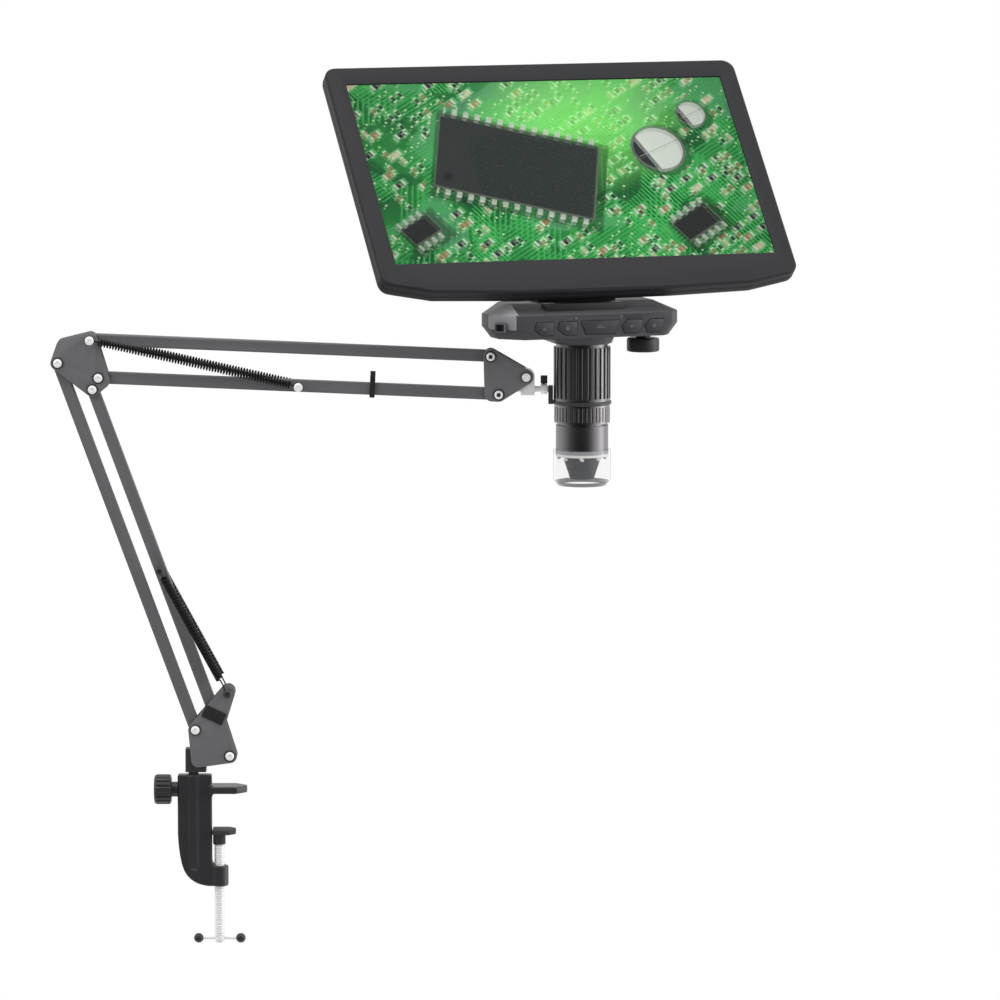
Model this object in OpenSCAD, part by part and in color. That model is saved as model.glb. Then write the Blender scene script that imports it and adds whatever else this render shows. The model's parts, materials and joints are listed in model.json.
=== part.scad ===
// LCD digital microscope on a sprung scissor arm with a table clamp.
// Millimetres. The origin is on the underside of the upper clamp jaw, where it meets the table top.
// +X runs from the clamp towards the microscope, +Z is up, and the screen faces -Y.

/* [Clamp] */
// Height of the clamp's back leg above the jaw face
leg_top = 10.2; // [8:0.2:14]
// Thickness of the clamp's back leg along X
leg_w = 19.1; // [16:0.1:24]
// Thickness of the leg's web along Y
web_t = 7; // [6:0.2:9]
// Depth of the jaw opening below the jaw face
throat_h = 41; // [38:0.5:60]
// Height of the boss that carries the clamp screw
hook_h = 11.6; // [10:0.2:16]
// Radius of the boss that carries the clamp screw
hook_r = 5.1; // [4.4:0.1:7]
// Length of the upper jaw from the leg to its tip
jaw_len = 19.6; // [16:0.2:30]
// Width of the upper jaw along Y
jaw_w = 16; // [13:0.5:24]
// Thickness of the upper jaw
jaw_t = 4; // [3:0.2:6]
// Distance from the leg's inner face to the jaw face's centre
jaw_centre = 10.2; // [8:0.2:12]
// Distance from the leg's inner face to the clamp screw's axis
screw_off = 3.9; // [3.8:0.1:6]
// Radius of the clamp screw
screw_r = 2.4; // [2:0.1:2.5]
// Length of the clamp screw
screw_len = 59; // [55:0.5:80]
// Distance from the jaw face down to the pressure pad
jaw_gap = 20.6; // [18:0.2:24]
// Thickness of the pressure pad
pad_t = 2.6; // [2:0.1:4]
// Length of the pressure pad along X
pad_len = 12.8; // [11:0.2:18]
// Width of the pressure pad along Y
pad_w = 14; // [12:0.5:20]
// Height of the hub under the pad
hub_h = 6; // [5:0.2:8]
// Radius of the hub under the pad
hub_r = 3.5; // [3.3:0.05:3.6]
// Length of the screw's cross bar
tommy_len = 23.4; // [20:0.2:34]
// Radius of the screw's cross bar
tommy_r = 0.9; // [0.7:0.05:1.2]
// Radius of the balls on the cross bar
tommy_ball_r = 2.7; // [2:0.1:3.5]

/* [Swivel] */
// Radius of the swivel shaft
shaft_r = 2.8; // [2.4:0.1:3]
// Distance from the leg's outer face to the shaft's axis
shaft_off = 8.9; // [8:0.1:10]
// Length of the swivel shaft inside the clamp
shaft_depth = 34; // [25:1:40]
// Radius of the boss round the shaft
boss_r = 4.7; // [4.4:0.1:5.5]
// Radius of the shaft's lock knob
knob_r = 8.4; // [7:0.2:11]
// Length of the lock knob
knob_len = 9.6; // [8:0.2:13]
// Radius of the lock knob's stud
knob_stud_r = 1.6; // [1.4:0.1:2]
// Distance of the lock knob's axis below the leg's top
knob_drop = 8.6; // [7:0.2:12]

/* [Arm] */
// Height of the lower arm's left pivot above the jaw face
base_pivot_z = 35.6; // [33:0.2:38]
// Distance from the shaft's axis to the lower arm's left pivot
base_pivot_off = 1.3; // [0:0.1:2.6]
// Distance along X between the lower arm's two pivots
lower_pair_x = 19; // [18:0.1:20]
// Distance along Z between the lower arm's two pivots
lower_pair_z = 14.6; // [14:0.1:15.4]
// Distance between the pivots at the ends of a lower bar
lower_len = 217.5; // [190:0.5:260]
// Lean of the lower arm from +X
lower_angle = 110.1; // [95:0.1:125]
// Distance between the pivots at the ends of an upper bar
upper_len = 220.7; // [200:0.1:250]
// Slope of the upper arm from +X
upper_angle = -2.4; // [-6:0.1:2]
// Distance along X from the elbow's left pivot to its top pivot
elbow_top_x = 17.9; // [17:0.1:19]
// Distance along Z from the elbow's left pivot to its top pivot
elbow_top_z = 12.9; // [12:0.1:14]
// Distance along X between the upper arm's two pivots
upper_pair_x = 4.4; // [4:0.1:5]
// Distance along Z between the upper arm's two pivots
upper_pair_z = 21.1; // [20.6:0.1:22]
// Width of the square arm tubes
bar_w = 6.4; // [5:0.1:6.6]
// Wall of the square arm tubes
bar_wall = 0.8; // [0.6:0.1:1.2]
// Thickness of the pivot plates
plate_t = 1.5; // [1:0.1:2]
// Radius of the pivot plates' corners
plate_r = 4; // [3.4:0.1:4.4]
// Radius of the pivot bolts
bolt_r = 1.5; // [1.2:0.1:1.8]
// Radius of the bolt heads
head_r = 2.4; // [2.1:0.1:2.8]
// Height of the bolt heads
head_h = 1.5; // [1:0.1:2]
// Radius of the washers under the bolt heads
washer_r = 3.2; // [3:0.1:3.5]
// Thickness of the washers
washer_t = 0.6; // [0.4:0.1:1]

/* [Springs] */
// Outer radius of the balance springs
spring_r = 2.4; // [2:0.1:2.8]
// Thickness of the spring wire
wire_d = 0.9; // [0.7:0.1:1.1]
// Distance from the lower bar's foot to its spring pin
lower_pin_at = 110.8; // [100:0.2:120]
// Distance from the upper bar's foot to its spring pin
upper_pin_at = 110.4; // [100:0.2:120]
// Curls of each lower spring
lower_curls = 17; // [14:1:18]
// Curls of each upper spring
upper_curls = 24; // [20:1:25]
// Height of the spring ear above the right base pivot
ear_z = 35.5; // [33:0.5:38]
// Distance of the spring ear to the left of the right base pivot
ear_x = 0.9; // [0:0.1:2]
// Distance of the cable clip from the upper bar's foot
clip_at = 151; // [140:1:165]

/* [Holder] */
// Distance along X from the upper arm's end to the tip bolt
tip_x = 19.6; // [18:0.2:24]
// Distance along Z from the upper arm's end down to the tip bolt
tip_z = 11.4; // [10:0.2:13]
// Distance from the tip bolt down to the holder rod
rod_drop = 7; // [6.4:0.1:8]
// Radius of the holder rod
rod_r = 1.7; // [1.4:0.1:2]
// Distance from the tip bolt to the microscope's axis
scope_off = 30.8; // [30:0.2:36]
// Thickness of the holder ring
ring_t = 1.9; // [1.5:0.1:2.5]
// Width of the holder ring's wall
ring_w = 3; // [2.6:0.1:3.6]

/* [Microscope] */
// Turn of the microscope about its own axis, as seen from above
head_yaw = 20; // [10:1:30]
// Distance from the holder rod down to the holder ring
ring_drop = 7.2; // [6:0.2:8]
// Radius of the fluted barrel
barrel_r = 15.7; // [15:0.1:16.5]
// Length of the fluted barrel
barrel_h = 29.7; // [26:0.1:36]
// Number of flutes round the barrel
flutes = 30; // [24:1:36]
// Depth of a flute
flute_d = 0.9; // [0.5:0.1:1.2]
// Radius of the barrel's neck, where the ring and the focus ring sit
neck_r = 13.2; // [12.6:0.1:13.6]
// Radius of the bore through the barrels
bore_r = 11.8; // [11.4:0.1:12]
// Height of the focus ring
focus_h = 10; // [8:0.2:13]
// Radius of the focus ring
focus_r = 15.4; // [15:0.1:16.2]
// Ribs round the focus ring
focus_ribs = 40; // [30:1:44]
// Width of the groove under the focus ring
groove_h = 1.4; // [1:0.1:2]
// Radius of the lower barrel
lower_r = 14.5; // [14:0.1:15.2]
// Height of the lower barrel
lower_h = 15.8; // [13:0.2:20]
// Radius of the clear light hood
hood_r = 16; // [15.6:0.1:17]
// Height of the light hood below the lower barrel
hood_h = 17.6; // [15:0.2:22]
// Wall of the light hood
hood_wall = 1.2; // [0.9:0.1:1.4]
// Height of the cone at the light hood's foot
hood_cone = 3; // [1:0.2:5]
// Draw-in of the light hood at its foot
hood_in = 2.6; // [0.4:0.2:4]
// Radius of the lens nose at its tip
nose_r = 6.6; // [6:0.1:7.5]
// Length of the lens nose
nose_h = 12.8; // [10:0.2:13.4]
// Height of the collar under the console
collar_h = 5.1; // [4:0.1:7]
// Gap between the collar and the fluted barrel
collar_gap = 2.1; // [1.5:0.1:3]

/* [Console] */
// Distance from the microscope's axis to the console's front face
console_front = 26; // [25:0.2:30]
// Distance from the microscope's axis to the console's rear face
console_rear = 19; // [18.4:0.2:24]
// Reach of the console to the left of the microscope's axis
console_left = 60; // [57:0.5:66]
// Reach of the console to the right of the microscope's axis
console_right = 48; // [47:0.5:54]
// Slanted corner at the console's left end
left_cut = 11; // [9:0.5:13]
// Slanted corner at the console's right end
right_cut = 5; // [4:0.5:8]
// Height of the console's front face
console_h = 13.3; // [12.8:0.1:16]
// Height of the console's sloping roof
roof_h = 5.4; // [4:0.1:7]
// Inset of the roof from the front face
roof_front = 13; // [11:0.5:15]
// Inset of the roof from the two ends
roof_side = 11.4; // [9:0.2:14]
// Height of the cut corners under the console's ends
end_cut = 6.6; // [4:0.2:7]
// Wall of the console's shells
shell_t = 2; // [1.6:0.1:2.4]
// Height of the buttons
button_h = 7.2; // [6:0.1:7.6]
// Distance from the console's top edge down to the buttons
button_drop = 4; // [3.6:0.1:4.2]
// Travel of a button
button_travel = 0.8; // [0.5:0.1:1]
// Radius of the brightness dial
dial_r = 9.1; // [8:0.1:10]
// Height of the brightness dial
dial_h = 4.3; // [3.4:0.1:5]
// Distance from the microscope's axis to the dial's axis
dial_x = 34.4; // [33:0.2:37]

/* [Display] */
// Width of the picture
screen_w = 222.7; // [200:0.1:230]
// Height of the picture
screen_h = 125.3; // [110:0.1:130]
// Frame at the left and right of the picture
side_rim = 10.6; // [9:0.1:14]
// Frame above the picture
top_rim = 12; // [10:0.1:15]
// Frame below the picture, at the corners
foot_rim = 14; // [13:0.1:16]
// Rise of the frame's bulging chin
chin_h = 7.4; // [5:0.1:8]
// Thickness of the display at its edge
display_t = 11.8; // [11:0.1:13]
// Radius of the display's corners
corner_r = 7; // [5:0.5:10]
// Radius of the display's rounded back edge
edge_r = 4.6; // [3:0.1:5]
// Depth of the housing on the display's back
hump_t = 8; // [6:0.5:12]
// Lean of the display from upright
display_lean = 42; // [40:0.5:46]
// Distance of the picture's lower edge in front of the microscope's axis
picture_front = 8.3; // [6:0.1:8.8]
// Height of the picture's lower edge above the console's front top edge
picture_up = 28.8; // [28.5:0.1:33]
// Height of the display's hinge above the console's roof
hinge_up = 6.6; // [6:0.1:7.4]
// Distance of the display's hinge behind the microscope's axis
hinge_back = 2; // [0:0.5:4]
// Radius of the hinge's knuckles
knuckle_r = 4.8; // [4:0.1:5]
// Radius of the hinge pin
pin_r = 1.5; // [1.2:0.1:2]

/* [Hidden] */
$fn = 64;
small_fn = 32;
bolt_fn = 24;

// Running gap between a shaft and its bore
fit = 0.05;
// Gap between faces that move past each other
gap = 0.3;
// Overrun of a cut through a face
over = 1;
// Thickness of the thin slabs that a hull spans
sliver = 0.1;

// Clamp, from the jaw face
leg_in = -jaw_centre;
leg_out = leg_in - leg_w;
shaft_x = leg_out + shaft_off;
screw_x = leg_in + screw_off;
hook_z = -throat_h;
bend_in = 1;
bend_r = leg_w - bend_in;
fillet_r = 3;
knob_z = leg_top - knob_drop;
knob_gap = 3.4;
knob_cuts = 18;
knob_cut_r = 0.6;
screw_top = -jaw_gap - pad_t;
tommy_z = screw_top - screw_len;
foot_len = 5;
foot_grow = 0.5;

// Pivots of the arm, as [x, z]
base_left = [shaft_x + base_pivot_off, base_pivot_z];
base_right = base_left + [lower_pair_x, -lower_pair_z];
lower_run = lower_len * [cos(lower_angle), sin(lower_angle)];
elbow_left = base_left + lower_run;
elbow_low = base_right + lower_run;
elbow_top = elbow_left + [elbow_top_x, elbow_top_z];
elbow_mid = elbow_top + [upper_pair_x, -upper_pair_z];
upper_run = upper_len * [cos(upper_angle), sin(upper_angle)];
end_top = elbow_top + upper_run;
end_low = elbow_mid + upper_run;
tip = end_top + [tip_x, -tip_z];
ear = base_right + [-ear_x, ear_z];
lower_pin = base_right + lower_pin_at * [cos(lower_angle), sin(lower_angle)];
upper_pin = elbow_mid + upper_pin_at * [cos(upper_angle), sin(upper_angle)];
rod_z = tip[1] - rod_drop;

// Layers of the arm along Y, from its middle plane
plate_in = bar_w / 2 + gap;
plate_out = plate_in + plate_t;
head_in = plate_out + washer_t;
spring_y = plate_out + gap + spring_r;
post_out = spring_y + spring_r + gap;
nut_h = 2.2;
drive_r = 1.1;
drive_d = 0.8;

// Base plates' shoulder, their foot and the neck under the spring ear
neck_off = [-6, 19];
foot_off = [1.6, -17];
band_off = [-8.6, 23];
base_neck = base_right + neck_off;
base_foot = base_left + foot_off;
band_at = base_right + band_off;
band_len = 12.4;
band_h = 7;
band_turn = -25;
band_t = 0.8;
yoke_left = 4.4;
yoke_right = 7.2;
yoke_top = 12;
yoke_bottom = 1.4;

// Elbow plates' spare corners, from its top and middle pivots
corner_off = [-14.6, -3.6];
elbow_side_off = [2.4, -1.6];
end_side_off = [0.6, 0.2];
elbow_corner = elbow_top + corner_off;
elbow_side = elbow_mid + elbow_side_off;
end_side = [end_top[0], end_low[1]] + end_side_off;

clip_w = 2.8;
clip_t = 1.4;
clip_loop_r = 3;

// A disc or bar that lies along Y between two places, at an [x, z] point
module across(p, r, from, to, sides = small_fn) {
    translate([p[0], to, p[1]]) rotate([90, 0, 0]) cylinder(r = r, h = to - from, $fn = sides);
}

// An outline in the XZ plane, given a thickness between two places along Y
module slab(from, to) {
    translate([0, to, 0]) rotate([90, 0, 0]) linear_extrude(to - from) children();
}

// A strip with round ends from one point to another
module strip(a, b, r) {
    run = b - a;
    translate(a) circle(r, $fn = small_fn);
    translate(b) circle(r, $fn = small_fn);
    translate(a) rotate(atan2(run[1], run[0])) translate([0, -r]) square([norm(run), 2 * r]);
}

// A plate outline with one corner radius round a ring of points
module rounded(points, r) {
    offset(r = r, $fn = small_fn) polygon(points);
}

// A disc or bar on each side of the arm, between two distances from its middle plane
module paired(p, r, from, to) {
    across(p, r, -to, -from);
    across(p, r, from, to);
}

// A square tube between two pivots, with its pivot bores
module tube_bar(a, b, holes) {
    run = b - a;
    turn = atan2(run[1], run[0]);
    inner = bar_w / 2 - bar_wall;
    difference() {
        slab(-bar_w / 2, bar_w / 2) strip(a, b, bar_w / 2);
        translate([a[0], 0, a[1]]) rotate([0, -turn, 0])
            translate([bar_w, -inner, -inner]) cube([norm(run) - 2 * bar_w, 2 * inner, 2 * inner]);
        for (p = holes) across(p, bolt_r + fit, -bar_w, bar_w);
    }
}

// A pivot plate with holes for its bolts
module pivot_plate(side, holes) {
    from = side < 0 ? -plate_out : plate_in;
    difference() {
        slab(from, from + plate_t) children();
        for (p = holes) across(p, bolt_r, -post_out, post_out);
    }
}

// A bolt through both plates: washer, domed head with its drive, and a nut behind
module plate_bolt(p, out = head_in) {
    difference() {
        union() {
            across(p, bolt_r, -out - head_h / 2, out + nut_h);
            across(p, head_r, -out - head_h, -out);
        }
        across(p, drive_r, -out - head_h - over, -out - head_h + drive_d, 6);
    }
    across(p, head_r, out, out + nut_h, 6);
    paired(p, washer_r, plate_out, head_in);
}

module clamp_body() {
    color("#2b2b2d") difference() {
        union() {
            slab(-web_t / 2, web_t / 2) difference() {
                union() {
                    translate([leg_out, hook_z]) square([leg_w, leg_top - hook_z]);
                    translate([leg_in - over, -hook_h / 2 + hook_z])
                        translate([0, -hook_h / 2]) square([screw_off + over, hook_h]);
                    intersection() {
                        translate([leg_in - bend_in, hook_z]) circle(bend_r);
                        translate([leg_out, hook_z - hook_h]) square([leg_w, hook_h + over]);
                    }
                    translate([leg_in, -fillet_r]) square([fillet_r, fillet_r]);
                    translate([leg_in, hook_z]) square([fillet_r, fillet_r]);
                }
                translate([leg_in + fillet_r, -fillet_r]) circle(fillet_r, $fn = small_fn);
                translate([leg_in + fillet_r, hook_z + fillet_r]) circle(fillet_r, $fn = small_fn);
            }
            // Shaft boss, down the leg into the bend
            translate([shaft_x, 0, -throat_h]) cylinder(r = boss_r, h = leg_top + throat_h);
            translate([shaft_x, 0, -throat_h]) sphere(r = boss_r);
            // Screw boss at the end of the hook
            translate([screw_x, 0, hook_z - hook_h]) cylinder(r = hook_r, h = hook_h);
            // Upper jaw with round corners at its tip
            difference() {
                translate([leg_in - over, -jaw_w / 2, 0]) cube([jaw_len + over, jaw_w, jaw_t]);
                for (side = [-1, 1]) translate([leg_in + jaw_len, side * jaw_w / 2, -over])
                    rotate(45) cube([2 * jaw_t, 2 * jaw_t, 4 * jaw_t], center = true);
            }
        }
        translate([shaft_x, 0, leg_top - shaft_depth - over])
            cylinder(r = shaft_r + fit, h = shaft_depth + 2 * over);
        translate([screw_x, 0, hook_z - hook_h - over]) cylinder(r = screw_r + fit, h = hook_h + 2 * over);
        translate([leg_out - over, 0, knob_z]) rotate([0, 90, 0])
            cylinder(r = knob_stud_r + fit, h = shaft_off + over);
    }
}

module pressure_pad() {
    color("#1c1c1e") difference() {
        union() {
            translate([leg_in + gap, -pad_w / 2, screw_top]) cube([pad_len, pad_w, pad_t]);
            translate([screw_x, 0, screw_top - hub_h]) cylinder(r = hub_r, h = hub_h + pad_t / 2);
        }
        translate([screw_x, 0, screw_top - hub_h - over]) cylinder(r = screw_r + fit, h = hub_h + over);
        for (side = [-1, 1]) translate([leg_in + gap + pad_len, side * pad_w / 2, screw_top])
            rotate(45) cube([2 * pad_t, 2 * pad_t, 4 * pad_t], center = true);
    }
}

module clamp_screw() {
    color("#c9cacc") difference() {
        union() {
            translate([screw_x, 0, tommy_z - foot_len / 2])
                cylinder(r = screw_r, h = screw_top - tommy_z + foot_len / 2 - gap);
            translate([screw_x, 0, tommy_z - foot_len / 2]) cylinder(r = screw_r + foot_grow, h = foot_len);
        }
        translate([screw_x - hook_r, 0, tommy_z]) rotate([0, 90, 0])
            cylinder(r = tommy_r + fit, h = 2 * hook_r, $fn = small_fn);
    }
}

module cross_bar() {
    color("#c9cacc") translate([screw_x - tommy_len / 2, 0, tommy_z]) rotate([0, 90, 0])
        cylinder(r = tommy_r, h = tommy_len, $fn = small_fn);
}

module cross_bar_balls() {
    color("#1c1c1e") for (side = [-1, 1]) difference() {
        translate([screw_x + side * tommy_len / 2, 0, tommy_z]) sphere(r = tommy_ball_r, $fn = small_fn);
        translate([screw_x - tommy_len / 2, 0, tommy_z]) rotate([0, 90, 0])
            cylinder(r = tommy_r, h = tommy_len, $fn = small_fn);
    }
}

module lock_knob() {
    color("#1c1c1e") translate([leg_out, 0, knob_z]) rotate([0, -90, 0]) {
        translate([0, 0, knob_gap]) difference() {
            cylinder(r = knob_r, h = knob_len, $fn = 48);
            flute_cuts(knob_cuts, knob_r + knob_cut_r / 2, knob_cut_r, -over, knob_len + over);
        }
        cylinder(r = knob_r / 2, h = knob_gap);
        translate([0, 0, -shaft_off + shaft_r + gap]) cylinder(r = knob_stud_r, h = shaft_off);
    }
}

module swivel_shaft() {
    color("#3a3a3c") {
        translate([shaft_x, 0, leg_top - shaft_depth])
            cylinder(r = shaft_r, h = shaft_depth + yoke_bottom + over);
        translate([shaft_x - yoke_left, -plate_in, leg_top + yoke_bottom])
            cube([yoke_left + yoke_right, 2 * plate_in, base_pivot_z - yoke_top - leg_top]);
    }
}

module base_outline() {
    rounded([base_left, base_foot, base_right, base_neck, ear], plate_r);
}

module base_plate_front() {
    color("#64646a") pivot_plate(-1, [base_left, base_right, ear]) base_outline();
}

module base_plate_rear() {
    color("#64646a") pivot_plate(1, [base_left, base_right, ear]) base_outline();
}

module base_bolts() {
    color("#d8d8da") {
        plate_bolt(base_left);
        plate_bolt(base_right);
        ear_posts();
    }
}

// A headed post outside each base plate's ear, for a spring hook; the bars pass between them
module ear_posts() {
    paired(ear, bolt_r, plate_in, post_out + head_h / 2);
    paired(ear, head_r, post_out, post_out + head_h);
}

// A pin through both plates or a bar, with a neck at each end for the spring hooks
module spring_post(p) {
    across(p, bolt_r, -post_out - head_h / 2, post_out + head_h / 2);
    paired(p, head_r, post_out, post_out + head_h);
}

module ear_bands() {
    color("#1c1c1e") for (side = [-1, 1])
        slab(side < 0 ? -plate_out - band_t : plate_out, side < 0 ? -plate_out : plate_out + band_t)
            translate(band_at) rotate(band_turn) translate([-band_len / 2, -band_h / 2])
                square([band_len, band_h]);
}

module lower_bar_left() {
    color("#6a6a6e") tube_bar(base_left, elbow_left, [base_left, elbow_left]);
}

module lower_bar_right() {
    color("#6a6a6e") tube_bar(base_right, elbow_low, [base_right, elbow_low, lower_pin]);
}

module lower_spring_pin() {
    color("#1c1c1e") spring_post(lower_pin);
}

module elbow_outline() {
    rounded([elbow_top, elbow_corner, elbow_left, elbow_low, elbow_side], plate_r);
}

module elbow_plate_front() {
    color("#6a6a70") pivot_plate(-1, [elbow_left, elbow_low, elbow_top, elbow_mid]) elbow_outline();
}

module elbow_plate_rear() {
    color("#6a6a70") pivot_plate(1, [elbow_left, elbow_low, elbow_top, elbow_mid]) elbow_outline();
}

module elbow_bolts() {
    color("#e4e4e6") {
        for (p = [elbow_left, elbow_low, elbow_mid]) plate_bolt(p);
        spring_post(elbow_top);
    }
}

module upper_bar_top() {
    color("#6a6a6e") tube_bar(elbow_top, end_top, [elbow_top, end_top]);
}

module upper_bar_bottom() {
    color("#6a6a6e") tube_bar(elbow_mid, end_low, [elbow_mid, end_low, upper_pin]);
}

module upper_spring_pin() {
    color("#e4e4e6") spring_post(upper_pin);
}

// A strap round the lower of the two bars, with an open loop on top
module cable_clip() {
    at = elbow_mid + clip_at * [cos(upper_angle), sin(upper_angle)];
    color("#1c1c1e") translate([at[0], 0, at[1]]) rotate([0, -upper_angle, 0])
        translate([clip_w / 2, 0, 0]) rotate([0, -90, 0]) linear_extrude(clip_w) difference() {
            union() {
                square(bar_w + 2 * clip_t, center = true);
                translate([bar_w / 2 + clip_loop_r, 0]) circle(clip_loop_r + clip_t / 2, $fn = small_fn);
            }
            square(bar_w, center = true);
            translate([bar_w / 2 + clip_t + clip_loop_r, 0]) circle(clip_loop_r - clip_t / 2, $fn = small_fn);
            translate([bar_w / 2 + clip_t + clip_loop_r, -clip_t]) square([2 * clip_loop_r, 2 * clip_t]);
        }
}

// Spring hooks, rings and sides of the swept wire
lead = 5;
hook_turn_r = bolt_r + gap + wire_d / 2;
curl_r = spring_r - wire_d / 2;
curl_rings = 8;
hook_steps = 7;
wire_sides = 6;
hook_open = 80;

function unit(v) = v / norm(v);

// Path of a spring from a hook round one pin to a hook round the other, along u with v and w across
function spring_path(run, curls) = concat(
    [[wire_d, -hook_turn_r, 0]],
    [for (i = [0 : hook_steps]) let(a = 90 + (1 - i / hook_steps) * (270 - hook_open))
        hook_turn_r * [cos(a), sin(a), 0]],
    [for (i = [0 : curls * curl_rings]) let(a = 360 * i / curl_rings)
        [lead + (run - 2 * lead) * i / (curls * curl_rings), curl_r * cos(a), curl_r * sin(a)]],
    [for (i = [0 : hook_steps]) let(a = 90 - i / hook_steps * (270 - hook_open))
        [run, 0, 0] + hook_turn_r * [cos(a), sin(a), 0]],
    [[run - wire_d, -hook_turn_r, 0]]);

// Least gap between stretches of a path that are more than most of a curl apart
function self_gap(path) = min([for (i = [0 : len(path) - 1])
    for (j = [i + curl_rings - 1 : 1 : len(path) - 1]) norm(path[i] - path[j])]) - wire_d;

// One unbroken wire swept along a path, its rings turned as little as they can be
module wire(path) {
    last = len(path) - 1;
    tangents = [for (i = [0 : last]) unit(path[min(i + 1, last)] - path[max(i - 1, 0)])];
    normals = [for (i = 0, n = [0, 0, 1]; i <= last;
        i = i + 1, n = i > last ? n : unit(n - (n * tangents[i]) * tangents[i])) n];
    points = [for (i = [0 : last]) for (k = [0 : wire_sides - 1])
        path[i] + wire_d / 2 * (cos(360 * k / wire_sides) * normals[i]
            + sin(360 * k / wire_sides) * cross(tangents[i], normals[i]))];
    walls = [for (i = [0 : last - 1]) for (k = [0 : wire_sides - 1])
        let(a = i * wire_sides + k, b = i * wire_sides + (k + 1) % wire_sides)
            each [[a, a + wire_sides, b], [b, a + wire_sides, b + wire_sides]]];
    caps = [for (k = [1 : wire_sides - 2])
        each [[0, k, k + 1], [last * wire_sides, last * wire_sides + k + 1, last * wire_sides + k]]];
    polyhedron(points, concat(walls, caps));
}

// A spring between two [x, z] pins, in front of the arm or behind it
module spring(a, b, side, curls) {
    run = b - a;
    path = spring_path(norm(run), curls);
    echo(spring_self_gap = self_gap(path), spring_curls = curls);
    translate([a[0], side * spring_y, a[1]]) rotate([0, -atan2(run[1], run[0]), 0]) rotate([90, 0, 0])
        wire(path);
}

module lower_spring_front() {
    color("#161616") spring(ear, lower_pin, -1, lower_curls);
}

module lower_spring_rear() {
    color("#161616") spring(ear, lower_pin, 1, lower_curls);
}

module upper_spring_front() {
    color("#161616") spring(elbow_top, upper_pin, -1, upper_curls);
}

module upper_spring_rear() {
    color("#161616") spring(elbow_top, upper_pin, 1, upper_curls);
}

module end_outline() {
    rounded([end_top, end_side, end_low, tip], plate_r);
}

module end_plate_front() {
    color("#6a6a70") pivot_plate(-1, [end_top, end_low, tip]) end_outline();
}

module end_plate_rear() {
    color("#6a6a70") pivot_plate(1, [end_top, end_low, tip]) end_outline();
}

module end_bolts() {
    color("#d8d8da") for (p = [end_top, end_low]) plate_bolt(p);
}

// Block between the end plates that turns on the tip bolt and holds the rod
block_y = plate_in - gap;
block_right = 4.6;
block_left = 3;
block_foot = 3.2;
rod_back = 7.6;
stop_x = 8;
stop_w = 3.6;
stop_r = 2.8;
nub_r = 1.9;
nub_h = 4.4;
ear_t = 2.4;
ear_w = 6;

module tilt_block() {
    color("#2a2a2c") difference() {
        slab(-block_y, block_y) {
            translate([tip[0] - block_left, rod_z - block_foot])
                square([block_left + block_right, rod_drop + block_foot]);
            translate(tip) circle(block_right);
        }
        across(tip, bolt_r + fit, -plate_out, plate_out);
        translate([tip[0] - rod_back - over, 0, rod_z]) rotate([0, 90, 0])
            cylinder(r = rod_r + fit, h = scope_off);
    }
}

module tip_bolt() {
    color("#d8d8da") {
        across(tip, bolt_r, -head_in - head_h / 2, head_in + nut_h);
        across(tip, head_r, -head_in - head_h, -head_in);
        across(tip, head_r + washer_t, head_in, head_in + nut_h, 6);
        paired(tip, plate_r + gap, plate_out, head_in);
    }
}

// Axis of the microscope and the heights along it
scope_x = tip[0] + scope_off;
seat = 0.15;
ring_z1 = rod_z - ring_drop + ring_t / 2;
ring_z0 = ring_z1 - ring_t;
barrel_z0 = ring_z1 + seat;
barrel_z1 = barrel_z0 + barrel_h;
console_z0 = barrel_z1 + collar_gap + collar_h;
console_z1 = console_z0 + console_h;
roof_z = console_z1 + roof_h;
focus_z1 = ring_z0 - seat;
focus_z0 = focus_z1 - focus_h;
lower_z1 = focus_z0 - groove_h;
lower_z0 = lower_z1 - lower_h;
hood_z0 = lower_z0 - hood_h;
ring_r = neck_r + fit + ring_w;

module holder_rod() {
    color("#e0e0e2") translate([tip[0] - rod_back, 0, rod_z]) rotate([0, 90, 0]) {
        cylinder(r = rod_r, h = scope_off + rod_back - ring_r - ear_t);
        translate([0, 0, rod_back + stop_x]) difference() {
            cylinder(r = stop_r, h = stop_w);
            translate([0, 0, stop_w / 2]) rotate([0, -90, 0])
                cylinder(r = bolt_r / 2 + fit, h = stop_r + over, $fn = bolt_fn);
        }
    }
}

module thumb_screw() {
    color("#1c1c1e") translate([tip[0] + stop_x + stop_w / 2, 0, rod_z]) {
        translate([0, 0, rod_r + gap]) cylinder(r = bolt_r / 2, h = stop_r, $fn = bolt_fn);
        translate([0, 0, stop_r + gap]) cylinder(r = nub_r, h = nub_h, $fn = bolt_fn);
    }
}

module holder_ring() {
    color("#2a2a2c") {
        translate([scope_x, 0, ring_z0]) difference() {
            cylinder(r = ring_r, h = ring_t);
            translate([0, 0, -over]) cylinder(r = neck_r + fit, h = ring_t + 2 * over);
        }
        difference() {
            translate([scope_x - ring_r - ear_t, -ear_w / 2, ring_z0])
                cube([ear_t + over, ear_w, rod_z - ring_z0 + rod_r + gap]);
            translate([scope_x, 0, ring_z0 - over]) cylinder(r = ring_r, h = scope_off);
        }
    }
}

// The microscope's own frame: its axis is Z, and it is turned by its yaw
module scope_place() {
    translate([scope_x, 0, 0]) rotate([0, 0, head_yaw]) children();
}

// A tube between two heights
module sleeve(outer, inner, z0, z1) {
    translate([0, 0, z0]) difference() {
        cylinder(r = outer, h = z1 - z0);
        translate([0, 0, -over]) cylinder(r = inner, h = z1 - z0 + 2 * over);
    }
}

// A ring of small cuts round a barrel
module flute_cuts(count, at, r, z0, z1) {
    for (i = [0 : count - 1]) rotate(360 * i / count) translate([at, 0, z0])
        cylinder(r = r, h = z1 - z0, $fn = 16);
}

top_neck_r = 14.4;
flute_cut_r = 1.15;
flute_end = 1.6;

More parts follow.
